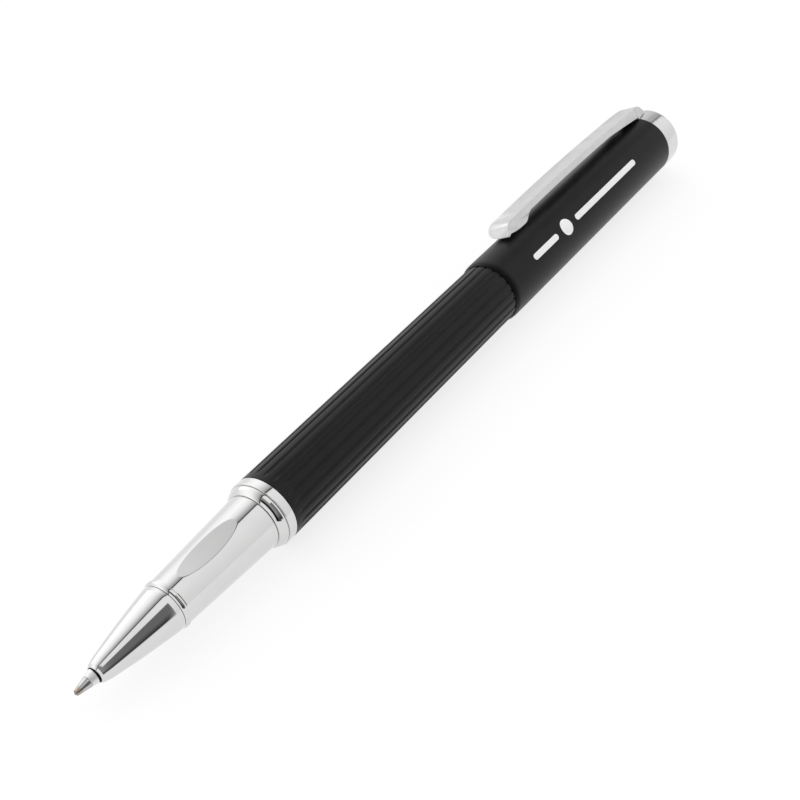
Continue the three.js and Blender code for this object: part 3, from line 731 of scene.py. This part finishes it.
MATERIALS = {
    "chrome": surface("chrome", *CHROME, (0.03, 0.06), 5000, ROUND, 1, 0.04, 2e-6),
    "worn_chrome": surface("worn_chrome", *CHROME, (0.13, 0.19), 5000, ROUND, 1, 0.05, 2e-6),
    "satin_steel": surface("satin_steel", grey(0.56), grey(0.6), (0.26, 0.38), 9000, ALONG, 1, 0.25, 6e-6),
    "spring_steel": surface(
        "spring_steel", grey(0.42), grey(0.5), (0.25, 0.4), 6000, EVEN, 1, 0.1, 4e-6),
    "ball_steel": surface("ball_steel", grey(0.22), grey(0.3), (0.15, 0.25), 8000, EVEN, 1),
    "point_metal": point_surface("point_metal", (0.15, 0.2), grey(0.5)),
    "sleeve_metal": point_surface("sleeve_metal", (0.5, 0.58), grey(0.8)),
    "brass": surface(
        "brass", (0.60, 0.44, 0.20), (0.72, 0.55, 0.28), (0.22, 0.36), 5000, ROUND, 1, 0.2, 6e-6),
    "black_lacquer": surface(
        "black_lacquer", *LACQUER, (0.34, 0.4), 2600, bump=0.02, depth=3e-6, specular=0.2),
    "black_cap": cap_surface("black_cap"),
    "black_plastic": surface("black_plastic", grey(0.018), grey(0.026), (0.45, 0.6), 4200, bump=0.2),
    "white_plastic": surface(
        "white_plastic", (0.76, 0.75, 0.70), (0.82, 0.81, 0.77), (0.4, 0.55), 3000, bump=0.15),
    "black_rubber": surface(
        "black_rubber", grey(0.012), grey(0.02), (0.6, 0.8), 6000, bump=0.3, specular=0.3),
    "inked_fibre": surface(
        "inked_fibre", (0.01, 0.01, 0.03), (0.03, 0.03, 0.07), (0.8, 0.95), 16000, ALONG,
        bump=0.6, depth=3e-5, specular=0.2),
    "white_print": surface(
        "white_print", grey(0.93), grey(0.97), (0.4, 0.5), 5000, bump=0.1, depth=3e-6),
}


def loose_object(name, mesh):
    made = bpy.data.objects.new(name, mesh)
    bpy.context.scene.collection.objects.link(made)
    return made


def join_body(made, body, finish):
    """An object becomes a piece of a body. NODE_shown stands for the CAD's NODE."""
    made.data.materials.clear()
    made.data.materials.append(MATERIALS[finish])
    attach(made, body)
    if made.name.endswith("_shown"):
        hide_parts(made.name.removesuffix("_shown"))


def show(mesh, body, finish):
    join_body(loose_object(mesh.name, mesh), body, finish)


def turned_pieces():
    for node, (body, finish, outline, facets) in TURNED.items():
        show(turned_mesh(node + "_shown", rounded(outline), facets), body, finish)


def ringed_mesh(name, rings):
    """A closed skin through rings of equal count, returning from the last ring to the first."""
    count = len(rings[0])
    points = [point for ring in rings for point in ring]
    faces = []
    for r in range(len(rings)):
        here, there = r * count, (r + 1) % len(rings) * count
        for i in range(count):
            j = (i + 1) % count
            faces.append([here + i, here + j, there + j, there + i])
    return mesh_from(name, points, faces, math.radians(25))


# The grip: its rings carry columns of points that follow the edges of the two finger rests.

def grip_radius(station):
    front, rear = span("grip_sleeve")
    return lerp(GRIP_FRONT_RADIUS, GRIP_REAR_RADIUS, (station - front) / (rear - front))


def rest_height(station):
    """The height of the ground surface of a finger rest above the axis. It follows the grip's slope."""
    offset = station - REST_STATION
    rise = REST_WHEEL_RADIUS - math.sqrt(REST_WHEEL_RADIUS ** 2 - offset ** 2)
    return grip_radius(station) - REST_DEPTH + rise


def grip_ring(station, radius):
    """One ring of the grip's outside, with the same columns in each ring."""
    height = rest_height(station)
    least_half = math.radians(1.5)
    half = max(least_half, math.acos(min(1, height / radius)))
    rest_steps, side_steps = 28, 52
    made = []
    for rest in (0, math.pi):
        middle = REST_LEAN + rest
        for i in range(rest_steps):
            turn = lerp(-half, half, i / rest_steps)
            made.append(around(station, min(radius, height / math.cos(turn)), middle + turn))
        for i in range(side_steps):
            made.append(around(station, radius, middle + lerp(half, math.pi - half, i / side_steps)))
    return made


def grip_bore_ring(station, radius, count):
    """One ring of the grip's bore, which starts at about the angle where the outside's rings start."""
    start = REST_LEAN - 0.3
    return [around(station, radius, start + 2 * math.pi * i / count) for i in range(count)]


def grip_sleeve():
    front, rear = span("grip_sleeve")
    edge = 0.08
    corner = 0.3 * edge
    stations = [lerp(front + edge, rear - edge, share) for share in shares(140)]
    outside = [(front, GRIP_FRONT_RADIUS - edge), (front + corner, GRIP_FRONT_RADIUS - corner)]
    outside += [(station, grip_radius(station)) for station in stations]
    outside += [(rear - corner, GRIP_REAR_RADIUS - corner), (rear, GRIP_REAR_RADIUS - edge)]
    bore = [
        (rear, GRIP_CORE_BORE),
        (GRIP_CORE_FRONT, GRIP_CORE_BORE),
        (GRIP_CORE_FRONT, GRIP_FRONT_BORE),
        (front, GRIP_FRONT_BORE),
    ]
    rings = [grip_ring(station, radius) for station, radius in outside]
    rings += [grip_bore_ring(station, radius, len(rings[0])) for station, radius in bore]
    show(ringed_mesh("grip_sleeve_shown", rings), "section", "chrome")


# The barrel: lands with a shallow round-bottomed flute between each pair.

def barrel_radius(station):
    front, rear = span("barrel_tube")
    rim = span("cap_tube")[0]
    if station <= rim:
        return lerp(BARREL_RADIUS, BARREL_RADIUS_AT_RIM, (station - front) / (rim - front))
    return lerp(BARREL_RADIUS_AT_RIM, BARREL_REAR_RADIUS, (station - rim) / (rear - rim))


def flute_sink(share):
    """The depth of a flute as a share of its middle's, with its edges eased into the lands."""
    offset = abs(share)
    if offset < FLUTE_BEND:
        return 1 - offset ** 2
    left = (FLUTE_EDGE - offset) / (FLUTE_EDGE - FLUTE_BEND)
    return (1 - FLUTE_BEND ** 2) * left ** 2


def fluted_ring(station, radius, depth):
    pitch = 2 * math.pi / FLUTE_COUNT
    half = FLUTE_SHARE * pitch / 2 * FLUTE_EDGE
    flute_steps = 16
    land_steps = 3
    made = []
    for flute in range(FLUTE_COUNT):
        middle = math.pi / 2 + flute * pitch
        for i in range(flute_steps):
            share = lerp(-1, 1, i / flute_steps)
            sink = depth * flute_sink(FLUTE_EDGE * share)
            made.append(around(station, radius - sink, middle + half * share))
        for i in range(land_steps):
            made.append(around(station, radius, middle + lerp(half, pitch - half, i / land_steps)))
    return made


def run_out(end, direction):
    """Rings where the flutes come out of the surface, from their end at the barrel's margin inwards."""
    made = []
    for share in shares(10):
        station = end + direction * FLUTE_RUN_OUT * share
        made.append((station, barrel_radius(station), FLUTE_DEPTH * share * (2 - share)))
    return made


def barrel_tube():
    front, rear = span("barrel_tube")
    rim = span("cap_tube")[0]
    edge = 0.06
    middle_steps = 12
    flute_front = front + FLUTE_MARGIN
    outside = [
        (front, barrel_radius(front) - edge, 0),
        (front + edge, barrel_radius(front), 0),
        (flute_front - edge, barrel_radius(flute_front), 0),
        *run_out(flute_front, 1),
    ]
    for i in range(1, middle_steps):
        station = lerp(flute_front + FLUTE_RUN_OUT, rim - FLUTE_FADE, i / middle_steps)
        outside.append((station, barrel_radius(station), FLUTE_DEPTH))
    for offset, depth in ((-FLUTE_FADE, FLUTE_DEPTH), (0, FLUTE_DEPTH_AT_RIM), (FLUTE_FADE, FLUTE_DEPTH)):
        outside.append((rim + offset, barrel_radius(rim + offset), depth))
    outside += reversed(run_out(rear - FLUTE_MARGIN, -1))
    outside.append((rear - edge, barrel_radius(rear), 0))
    outside.append((rear, barrel_radius(rear) - edge, 0))
    bore_step = rim - 2
    bore = [
        (rear, BARREL_REAR_BORE),
        (rim, BARREL_REAR_BORE),
        (bore_step, BARREL_BORE),
        (front, BARREL_BORE),
    ]
    rings = [fluted_ring(*ring) for ring in outside]
    rings += [fluted_ring(station, radius, 0) for station, radius in bore]
    show(ringed_mesh("barrel_tube_shown", rings), "barrel", "black_lacquer")


# Swept pieces: the spring and the thread.

def swept_mesh(name, rings):
    """A skin through rings, closed by a face at each end."""
    count = len(rings[0])
    points = [point for ring in rings for point in ring]
    faces = [list(range(count)), list(range(len(points) - count, len(points)))]
    for r in range(len(rings) - 1):
        for i in range(count):
            j = (i + 1) % count
            faces.append([r * count + i, r * count + j, (r + 1) * count + j, (r + 1) * count + i])
    return mesh_from(name, points, faces)


def helix_rings(section, front, pitch, turns, steps_per_turn, start_angle):
    """Rings of a left-handed helix. The section is (station offset, radius) pairs."""
    made = []
    for step in range(round(turns * steps_per_turn) + 1):
        angle = start_angle - 2 * math.pi * step / steps_per_turn
        station = front + pitch * step / steps_per_turn
        made.append([around(station + offset, radius, angle) for offset, radius in section])
    return made


def refill_spring():
    wire = 0.25
    coil = 2.2
    turns = 5
    front, rear = span("refill_spring")
    pitch = (rear - front - 2 * wire) / turns
    sides = 14
    angles = [2 * math.pi * i / sides for i in range(sides)]
    section = [(wire * math.cos(angle), coil + wire * math.sin(angle)) for angle in angles]
    rings = helix_rings(section, front + wire, pitch, turns, 60, math.pi / 2)
    show(swept_mesh("refill_spring_shown", rings), "refill", "spring_steel")


def section_core():
    """The core's tube, and its thread as a second piece that grows out of the tube's surface."""
    outline = tube_outline("section_core", SECTION_BORE, THREAD_ROOT_RADIUS, 0.15)
    show(turned_mesh("section_core_shown", rounded(outline), SMALL_FACETS * 2), "section", "brass")
    sunk = THREAD_ROOT_RADIUS - EDGE
    half_root, half_crest, round_off = 0.25, 0.12, 0.03
    half_flat = 0.08
    section = [
        (-half_root, sunk),
        (-half_crest, THREAD_CREST_RADIUS - round_off),
        (-half_flat, THREAD_CREST_RADIUS),
        (half_flat, THREAD_CREST_RADIUS),
        (half_crest, THREAD_CREST_RADIUS - round_off),
        (half_root, sunk),
    ]
    rings = helix_rings(section, THREAD_FRONT, THREAD_PITCH, THREAD_TURNS, 90, math.pi / 2)
    show(swept_mesh("section_thread", rings), "section", "brass")


# The clip and the end band are cut from prisms, then their edges are rounded.

def leaned(station, across, height):
    """A point given in the clip's own upright frame."""
    turned = Matrix.Rotation(-CLIP_LEAN, 3, "X") @ Vector((0, across, height))
    return place(station, turned.y, turned.z)


def prism(name, near, far):
    """A solid between two outlines that have the same number of points."""
    count = len(near)
    faces = [list(range(count)), list(range(count, 2 * count))]
    faces += [[i, (i + 1) % count, count + (i + 1) % count, count + i] for i in range(count)]
    return loose_object(name, mesh_from(name, near + far, faces))


def clip_prism(name, outline, width):
    """A slab across the clip from its side outline of (station, height) points."""
    near, far = (
        [leaned(station, side * width / 2, height) for station, height in outline]
        for side in (1, -1)
    )
    return prism(name, near, far)


def clip_plan():
    """A tall prism over the clip's plan outline, which narrows towards the root."""
    half, root_half = CLIP_WIDTH / 2, CLIP_ROOT_WIDTH / 2
    taper_rear = CLIP_ROOT_REAR - 1
    taper = [
        (lerp(CLIP_TAPER_FRONT, taper_rear, share), lerp(half, root_half, eased(share)))
        for share in shares(8)
    ]
    side = [(CLIP_TOE[0] - 1, half), *taper, (CLIP_ROOT_REAR + 1, root_half)]
    outline = side + [(station, -across) for station, across in reversed(side)]
    near, far = (
        [leaned(station, across, height) for station, across in outline]
        for height in (0, 2 * CLIP_CREST_HEIGHT)
    )
    return prism("clip_plan", near, far)


def combined(base, tool, operation):
    """The base changed by the tool, which is used up."""
    modifier = base.modifiers.new("cut", "BOOLEAN")
    modifier.operation = operation
    modifier.solver = "EXACT"
    modifier.object = tool
    settle(base)
    bpy.data.objects.remove(tool)
    return base


def settle(target):
    """Makes an object's modifiers part of its mesh."""
    bpy.context.view_layer.update()
    evaluated = target.evaluated_get(bpy.context.evaluated_depsgraph_get())
    settled = bpy.data.meshes.new_from_object(evaluated)
    target.modifiers.clear()
    target.data = settled


def edges_rounded(target, width, segments=4):
    """Sharp edges rounded, and smooth shading that keeps flat faces flat."""
    bevel = target.modifiers.new("edges", "BEVEL")
    bevel.width = width * MM
    bevel.segments = segments
    bevel.limit_method = "ANGLE"
    bevel.angle_limit = math.radians(30)
    settle(target)
    target.data.shade_smooth()
    weighted = target.modifiers.new("shading", "WEIGHTED_NORMAL")
    weighted.keep_sharp = True
    settle(target)


def clip_face(station):
    """The height of the clip's bowed outer face."""
    return CLIP_CREST_HEIGHT - (station - CLIP_CREST_STATION) ** 2 / (2 * CLIP_BOW_RADIUS)


def clip_run(start, end, depth, steps):
    """Points at a depth under the outer face."""
    stations = [lerp(start, end, share) for share in shares(steps)]
    return [(station, clip_face(station) - depth) for station in stations]


def clip_bend():
    """The quarter turn in which the outer face bends down at the root."""
    radius = CLIP_ROOT_BEND
    centre = CLIP_ROOT_REAR - radius
    height = clip_face(centre) - radius
    return [
        (centre + radius * math.sin(turn), height + radius * math.cos(turn))
        for turn in quarter_turns(12)
    ]


def lobe_edge():
    """The lower edge of the flange's lobe: down a smooth step, and up a long curve to the toe."""
    top = clip_face(CLIP_LOBE_END) - CLIP_FLANGE
    made = [
        (lerp(CLIP_LOBE_END, CLIP_LOBE_REAR, share), lerp(top, CLIP_LOBE_HEIGHT, eased(share)))
        for share in shares(10)[1:]
    ]
    for share in shares(10)[:-1]:
        station = lerp(CLIP_LOBE_STATION, CLIP_TOE[0] + CLIP_THICKNESS, share)
        rise = (station - CLIP_LOBE_STATION) ** 2 / (2 * CLIP_LOBE_CURVE)
        made.append((station, CLIP_LOBE_HEIGHT + rise))
    return made


def flange_edge():
    """The lower edge of the flange, from the root to the lobe. It is deeper towards the root."""
    made = []
    for station, height in clip_run(CLIP_ROOT_FRONT, CLIP_LOBE_END, 0, 30):
        share = max(0, (station - CLIP_FLANGE_BEND) / (CLIP_ROOT_FRONT - CLIP_FLANGE_BEND))
        made.append((station, height - lerp(CLIP_FLANGE, CLIP_ROOT_FLANGE, share)))
    return made


def tongue_corner(side):
    """A cutter for one lower corner of the front wall, which leaves a round tongue."""
    half = CLIP_WIDTH / 2
    width, height = CLIP_TONGUE_CORNER
    low = CLIP_LOBE_HEIGHT - 1
    top = CLIP_TOE[1] + height
    arc = [
        (half - width * (1 - math.sin(turn)), top - height * math.cos(turn))
        for turn in quarter_turns(10)
    ]
    outline = [(half - width, low), *arc, (half + 1, top), (half + 1, low)]
    near, far = (
        [leaned(station, side * across, up) for across, up in outline]
        for station in (CLIP_TOE[0] - 1, CLIP_LOBE_FRONT)
    )
    return prism("clip_tongue", near, far)


def root_seat():
    """A cutter that fits the underside of the clip's root to the end band."""
    radius = END_BAND_RADIUS + CLIP_ROOT_CLEARANCE
    front, rear = CLIP_HOLLOW_REAR, CLIP_ROOT_REAR + 2
    outline = [(front, 0), (front, radius), (rear, radius), (rear, 0)]
    return loose_object("clip_seat", turned_mesh("clip_seat", outline))


def box_outline(front, rear, bottom, top):
    return [(rear, bottom), (front, bottom), (front, top), (rear, top)]


def clip():
    """A channel pressed from strip: cut as a solid, hollowed, and seated on the end band."""
    toe_station, toe_height = CLIP_TOE
    bend_front = CLIP_ROOT_REAR - CLIP_ROOT_BEND
    tang_front = CLIP_ROOT_REAR - CLIP_TANG_THICKNESS
    low = CLIP_LOBE_HEIGHT - 1
    brow_rear = (CLIP_BROW_REAR, clip_face(CLIP_BROW_REAR))
    outline = [
        *clip_run(CLIP_BROW_REAR + 0.2, bend_front - 0.4, 0, 24),
        *clip_bend(),
        (CLIP_ROOT_REAR, CLIP_TANG_HEIGHT),
        (CLIP_ROOT_FRONT, CLIP_TANG_HEIGHT),
        *flange_edge(),
        *lobe_edge(),
        (toe_station + 0.35, toe_height - 0.05),
        *bent(CLIP_TOE, CLIP_BROW_CORNER, brow_rear, 14),
    ]
    hollow = [
        (toe_station + CLIP_THICKNESS, CLIP_CREST_HEIGHT - 2 * CLIP_THICKNESS),
        (toe_station + CLIP_THICKNESS, low),
        (CLIP_HOLLOW_REAR, low),
        *clip_run(CLIP_HOLLOW_REAR, CLIP_BROW_REAR, CLIP_THICKNESS, 20),
    ]
    tang_top = CAP_RADIUS + CLIP_THICKNESS
    tang = box_outline(tang_front, CLIP_ROOT_REAR - SLOT_CLEARANCE, CLIP_TANG_HEIGHT, tang_top)
    made = clip_prism("clip_shown", outline, CLIP_WIDTH + 1)
    combined(made, clip_plan(), "INTERSECT")
    combined(made, tongue_corner(1), "DIFFERENCE")
    combined(made, tongue_corner(-1), "DIFFERENCE")
    combined(made, root_seat(), "DIFFERENCE")
    combined(made, clip_prism("clip_hollow", hollow, CLIP_WIDTH - 2 * CLIP_THICKNESS), "DIFFERENCE")
    combined(made, clip_prism("clip_tang", tang, CLIP_TANG_WIDTH), "UNION")
    edges_rounded(made, CLIP_EDGE)
    join_body(made, "clip", "satin_steel")


def cap_end_band():
    """The band that closes the cap: a spigot in the cap, a web for the screw and the clip's slot."""
    front, rear = span("cap_end_band")
    shoulder = span("cap_tube")[1] + JOINT_GAP
    web_front, web_rear = shoulder + 0.25, shoulder + 1.75
    spigot, spigot_bore = CAP_BORE - FIT, 4.5
    recess = FINIAL_RADIUS + FIT
    outline = [
        (front, spigot_bore),
        (front, spigot),
        (shoulder, spigot),
        (shoulder, END_BAND_RADIUS, 0.04),
        *quarter_round(rear, END_BAND_RADIUS, END_BAND_ROUNDING),
        (rear, recess, 0.08),
        (web_rear, recess),
        (web_rear, SCREW_HOLE),
        (web_front, SCREW_HOLE),
        (web_front, spigot_bore),
    ]
    made = loose_object("cap_end_band_shown", turned_mesh("cap_end_band_shown", rounded(outline)))
    slot = box_outline(
        CLIP_ROOT_REAR - CLIP_TANG_THICKNESS - SLOT_CLEARANCE,
        CLIP_ROOT_REAR + SLOT_CLEARANCE,
        CLIP_TANG_HEIGHT - SLOT_CLEARANCE,
        CAP_RADIUS + 1,
    )
    combined(made, clip_prism("slot", slot, CLIP_TANG_WIDTH + 2 * SLOT_CLEARANCE), "DIFFERENCE")
    made.data.set_sharp_from_angle(angle=SHARP_ANGLE)
    join_body(made, "cap", "worn_chrome")


# A plain printed ornament: a bar, a disc and a longer bar in a line along the cap.

def printed_patch(name, rows):
    """A thin film that follows the cap, from rows of (station, half its width there)."""
    columns = 10
    rings = []
    for station, half in rows:
        angles = [PRINT_ANGLE + lerp(-half, half, i / columns) / CAP_RADIUS for i in range(columns + 1)]
        top = [around(station, CAP_RADIUS + PRINT_RISE, angle) for angle in angles]
        under = [around(station, CAP_RADIUS - PRINT_RISE, angle) for angle in reversed(angles)]
        rings.append(top + under)
    show(swept_mesh(name, rings), "cap", "white_print")


def round_ended(front, rear, half):
    """Rows of a bar with round ends. A bar as long as it is wide is a disc."""
    steps, first = 12, 0.4
    turns = [math.pi / 2 * (i + first) / (steps + first) for i in range(steps + 1)]
    front_end = [(front + half - half * math.cos(turn), half * math.sin(turn)) for turn in turns]
    rear_end = [(front + rear - station, width) for station, width in reversed(front_end)]
    return front_end + rear_end


def ornament():
    printed_patch("print_bar_front", round_ended(*PRINT_BAR_FRONT, PRINT_BAR_HALF))
    disc_front = PRINT_DISC_STATION - PRINT_DISC_RADIUS
    disc_rear = PRINT_DISC_STATION + PRINT_DISC_RADIUS
    printed_patch("print_disc", round_ended(disc_front, disc_rear, PRINT_DISC_RADIUS))
    printed_patch("print_bar_rear", round_ended(*PRINT_BAR_REAR, PRINT_BAR_HALF))


# The CAD nodes that stay as they are get a material.

def carried_over():
    for node, finish in (("barrel_insert", "brass"), ("finial_screw", "satin_steel")):
        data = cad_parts[node].data
        data.materials.clear()
        data.materials.append(MATERIALS[finish])


# The studio: a pale floor, a soft sky and a dark opening, which is what the chrome's dark bands mirror.

def mathematics(tree, operation, first, second):
    made = tree.nodes.new("ShaderNodeMath")
    made.operation = operation
    for socket, value in zip(made.inputs, (first, second)):
        feed(tree, socket, value)
    return made.outputs[0]


def product(tree, first, second):
    return mathematics(tree, "MULTIPLY", first, second)


def graded(tree, value, low, high, levels):
    """A grey that follows (value, level) pairs, with the value between low and high."""
    share = ranged(tree, value, 0, 1, low, high)
    return ramped(tree, share, [((at - low) / (high - low), grey(level)) for at, level in levels])


def mixed(tree, factor, first, second):
    """Two colours mixed by a factor."""
    made = node(tree, "Mix", {"Factor": factor})
    made.data_type = "RGBA"
    colours = [socket for socket in made.inputs if socket.type == "RGBA"]
    for socket, colour in zip(colours, (first, second)):
        feed(tree, socket, colour)
    return next(socket for socket in made.outputs if socket.type == "RGBA")


def within(tree, value, low, high, soft):
    """1 where the value is between low and high, with soft edges."""
    made = []
    for edge, sign in ((low, 1), (high, -1)):
        limits = {"From Min": edge - sign * soft, "From Max": edge + sign * soft}
        step = node(tree, "MapRange", {"Value": value, **limits})
        step.interpolation_type = "SMOOTHSTEP"
        made.append(step.outputs["Result"])
    return product(tree, *made)


def patch(tree, along, turn, along_range, along_soft, turn_range, turn_soft):
    """1 in the directions whose part along the pen and whose turn round it are in these ranges."""
    lengthwise = within(tree, along, *along_range, along_soft)
    return product(tree, lengthwise, within(tree, turn, *turn_range, turn_soft))


def sky(tree, along, turn):
    """The soft sky, with a dim part beyond the cap and a bright part low behind the pen."""
    base = graded(tree, turn, -180, 180, (
        (-180, 0.7), (-102, 0.78), (-88, 0.74), (-72, 0.9), (-52, 1.0), (-42, 0.94), (-32, 0.84),
        (-22, 0.65), (-12, 0.44), (-6, 0.25), (-4.4, 0.05), (-1.4, 0.05), (-0.4, 0.74), (10, 0.77),
        (30, 0.75), (60, 0.7), (90, 0.66), (180, 0.7),
    ))
    far = patch(tree, along, turn, (0.68, 2), 0.06, (-75, -15), 6)
    near = patch(tree, along, turn, (0.02, 0.32), 0.05, (-84, -58), 6)
    dimming = mathematics(tree, "SUBTRACT", 1.0, product(tree, far, 0.4))
    glow = mathematics(tree, "ADD", 1.0, product(tree, near, 0.6))
    return product(tree, product(tree, base, dimming), glow)


def opening(tree, along, turn):
    """Where the dark opening through which the studio is worked lies: a wide part and a tall one."""
    low_part = patch(tree, along, turn, (-0.62, 0.21), 0.03, (28, 86), 2.5)
    high_part = patch(tree, along, turn, (-0.62, -0.17), 0.02, (-1, 96), 2.5)
    return mathematics(tree, "MAXIMUM", low_part, high_part)


def darkness(tree, along, turn):
    """What shows in the opening: nearly black, greyer towards the pen's middle and its top."""
    depth = graded(tree, along, -1, 1, (
        (-0.46, 0.01), (-0.38, 0.22), (-0.3, 0.27), (-0.2, 0.22), (-0.05, 0.14), (0.2, 0.12),
    ))
    shade = graded(tree, turn, -180, 180, ((60, 1), (72, 0.6), (80, 0.25), (95, 0.15)))
    return product(tree, depth, shade)


def studio_world():
    """Light by direction. turn is the direction's angle about X, from the zenith towards -Y."""
    world = bpy.data.worlds.new("studio")
    bpy.context.scene.world = world
    world.use_nodes = True
    tree = world.node_tree
    direction = tree.nodes.new("ShaderNodeTexCoord").outputs["Generated"]
    along, across, up = node(tree, "SeparateXYZ", {"Vector": direction}).outputs
    radians = mathematics(tree, "ARCTAN2", product(tree, across, -1.0), up)
    turn = product(tree, radians, math.degrees(1))
    lit = tree.nodes["Background"]
    lit.inputs["Strength"].default_value = SKY_STRENGTH
    light = mixed(tree, opening(tree, along, turn), sky(tree, along, turn), darkness(tree, along, turn))
    feed(tree, lit.inputs["Color"], light)
    show_plain_backdrop(tree, lit)


def show_plain_backdrop(tree, lit):
    """Past the floor's edge a camera sees plain white. Only reflections and light come from the sky."""
    plain = node(tree, "Background", {"Color": WHITE})
    by_camera = tree.nodes.new("ShaderNodeLightPath").outputs["Is Camera Ray"]
    shown = node(tree, "MixShader", {"Fac": by_camera})
    feed(tree, shown.inputs[1], lit.outputs["Background"])
    feed(tree, shown.inputs[2], plain.outputs["Background"])
    feed(tree, tree.nodes["World Output"].inputs["Surface"], shown.outputs["Shader"])


def studio_floor():
    mesh = bpy.data.meshes.new("floor")
    signs = ((-1, -1), (1, -1), (1, 1), (-1, 1))
    corners = [(along * FLOOR_REACH, across * FLOOR_REACH, cad_box[0].z) for along, across in signs]
    mesh.from_pydata(corners, [], [(0, 1, 2, 3)])
    floor = loose_object("floor", mesh)
    material, tree, principled, coordinates = shader("floor")
    colour = tinted(tree, noise(tree, coordinates, 3), grey(0.21), grey(0.23))
    feed(tree, principled.inputs["Base Color"], colour)
    principled.inputs["Roughness"].default_value = 0.9
    principled.inputs["Specular IOR Level"].default_value = 0
    principled.inputs["Emission Color"].default_value = WHITE
    principled.inputs["Emission Strength"].default_value = FLOOR_GLOW
    mesh.materials.append(material)


def studio_light():
    data = bpy.data.lights.new("overhead", "AREA")
    data.shape = "DISK"
    data.size = LAMP_SIZE
    data.energy = LAMP_POWER
    light = bpy.data.objects.new("overhead", data)
    light.location = LAMP_PLACE
    light.rotation_euler = (light.location * -1).to_track_quat("-Z", "Y").to_euler()
    light.visible_glossy = False
    bpy.context.scene.collection.objects.link(light)


def studio_camera():
    data = bpy.data.cameras.new("camera")
    data.sensor_width = CAMERA_SENSOR
    data.lens = CAMERA_LENS
    data.clip_start = 0.01
    data.clip_end = 20
    camera = bpy.data.objects.new("camera", data)
    bpy.context.scene.collection.objects.link(camera)
    forward = Vector(CAMERA_FORWARD).normalized()
    right = forward.cross(Vector(CAMERA_UP)).normalized()
    up = right.cross(forward)
    matrix = Matrix((right, up, -forward)).transposed().to_4x4()
    matrix.translation = place(0, 0, 0) + Vector(CAMERA_FROM_TIP) * MM
    camera.matrix_world = matrix
    bpy.context.scene.camera = camera


studio_camera()
studio_world()
studio_floor()
studio_light()
bpy.context.scene.view_settings.view_transform = "Standard"

turned_pieces()
grip_sleeve()
barrel_tube()
refill_spring()
section_core()
clip()
cap_end_band()
ornament()
carried_over()

bpy.context.view_layer.update()
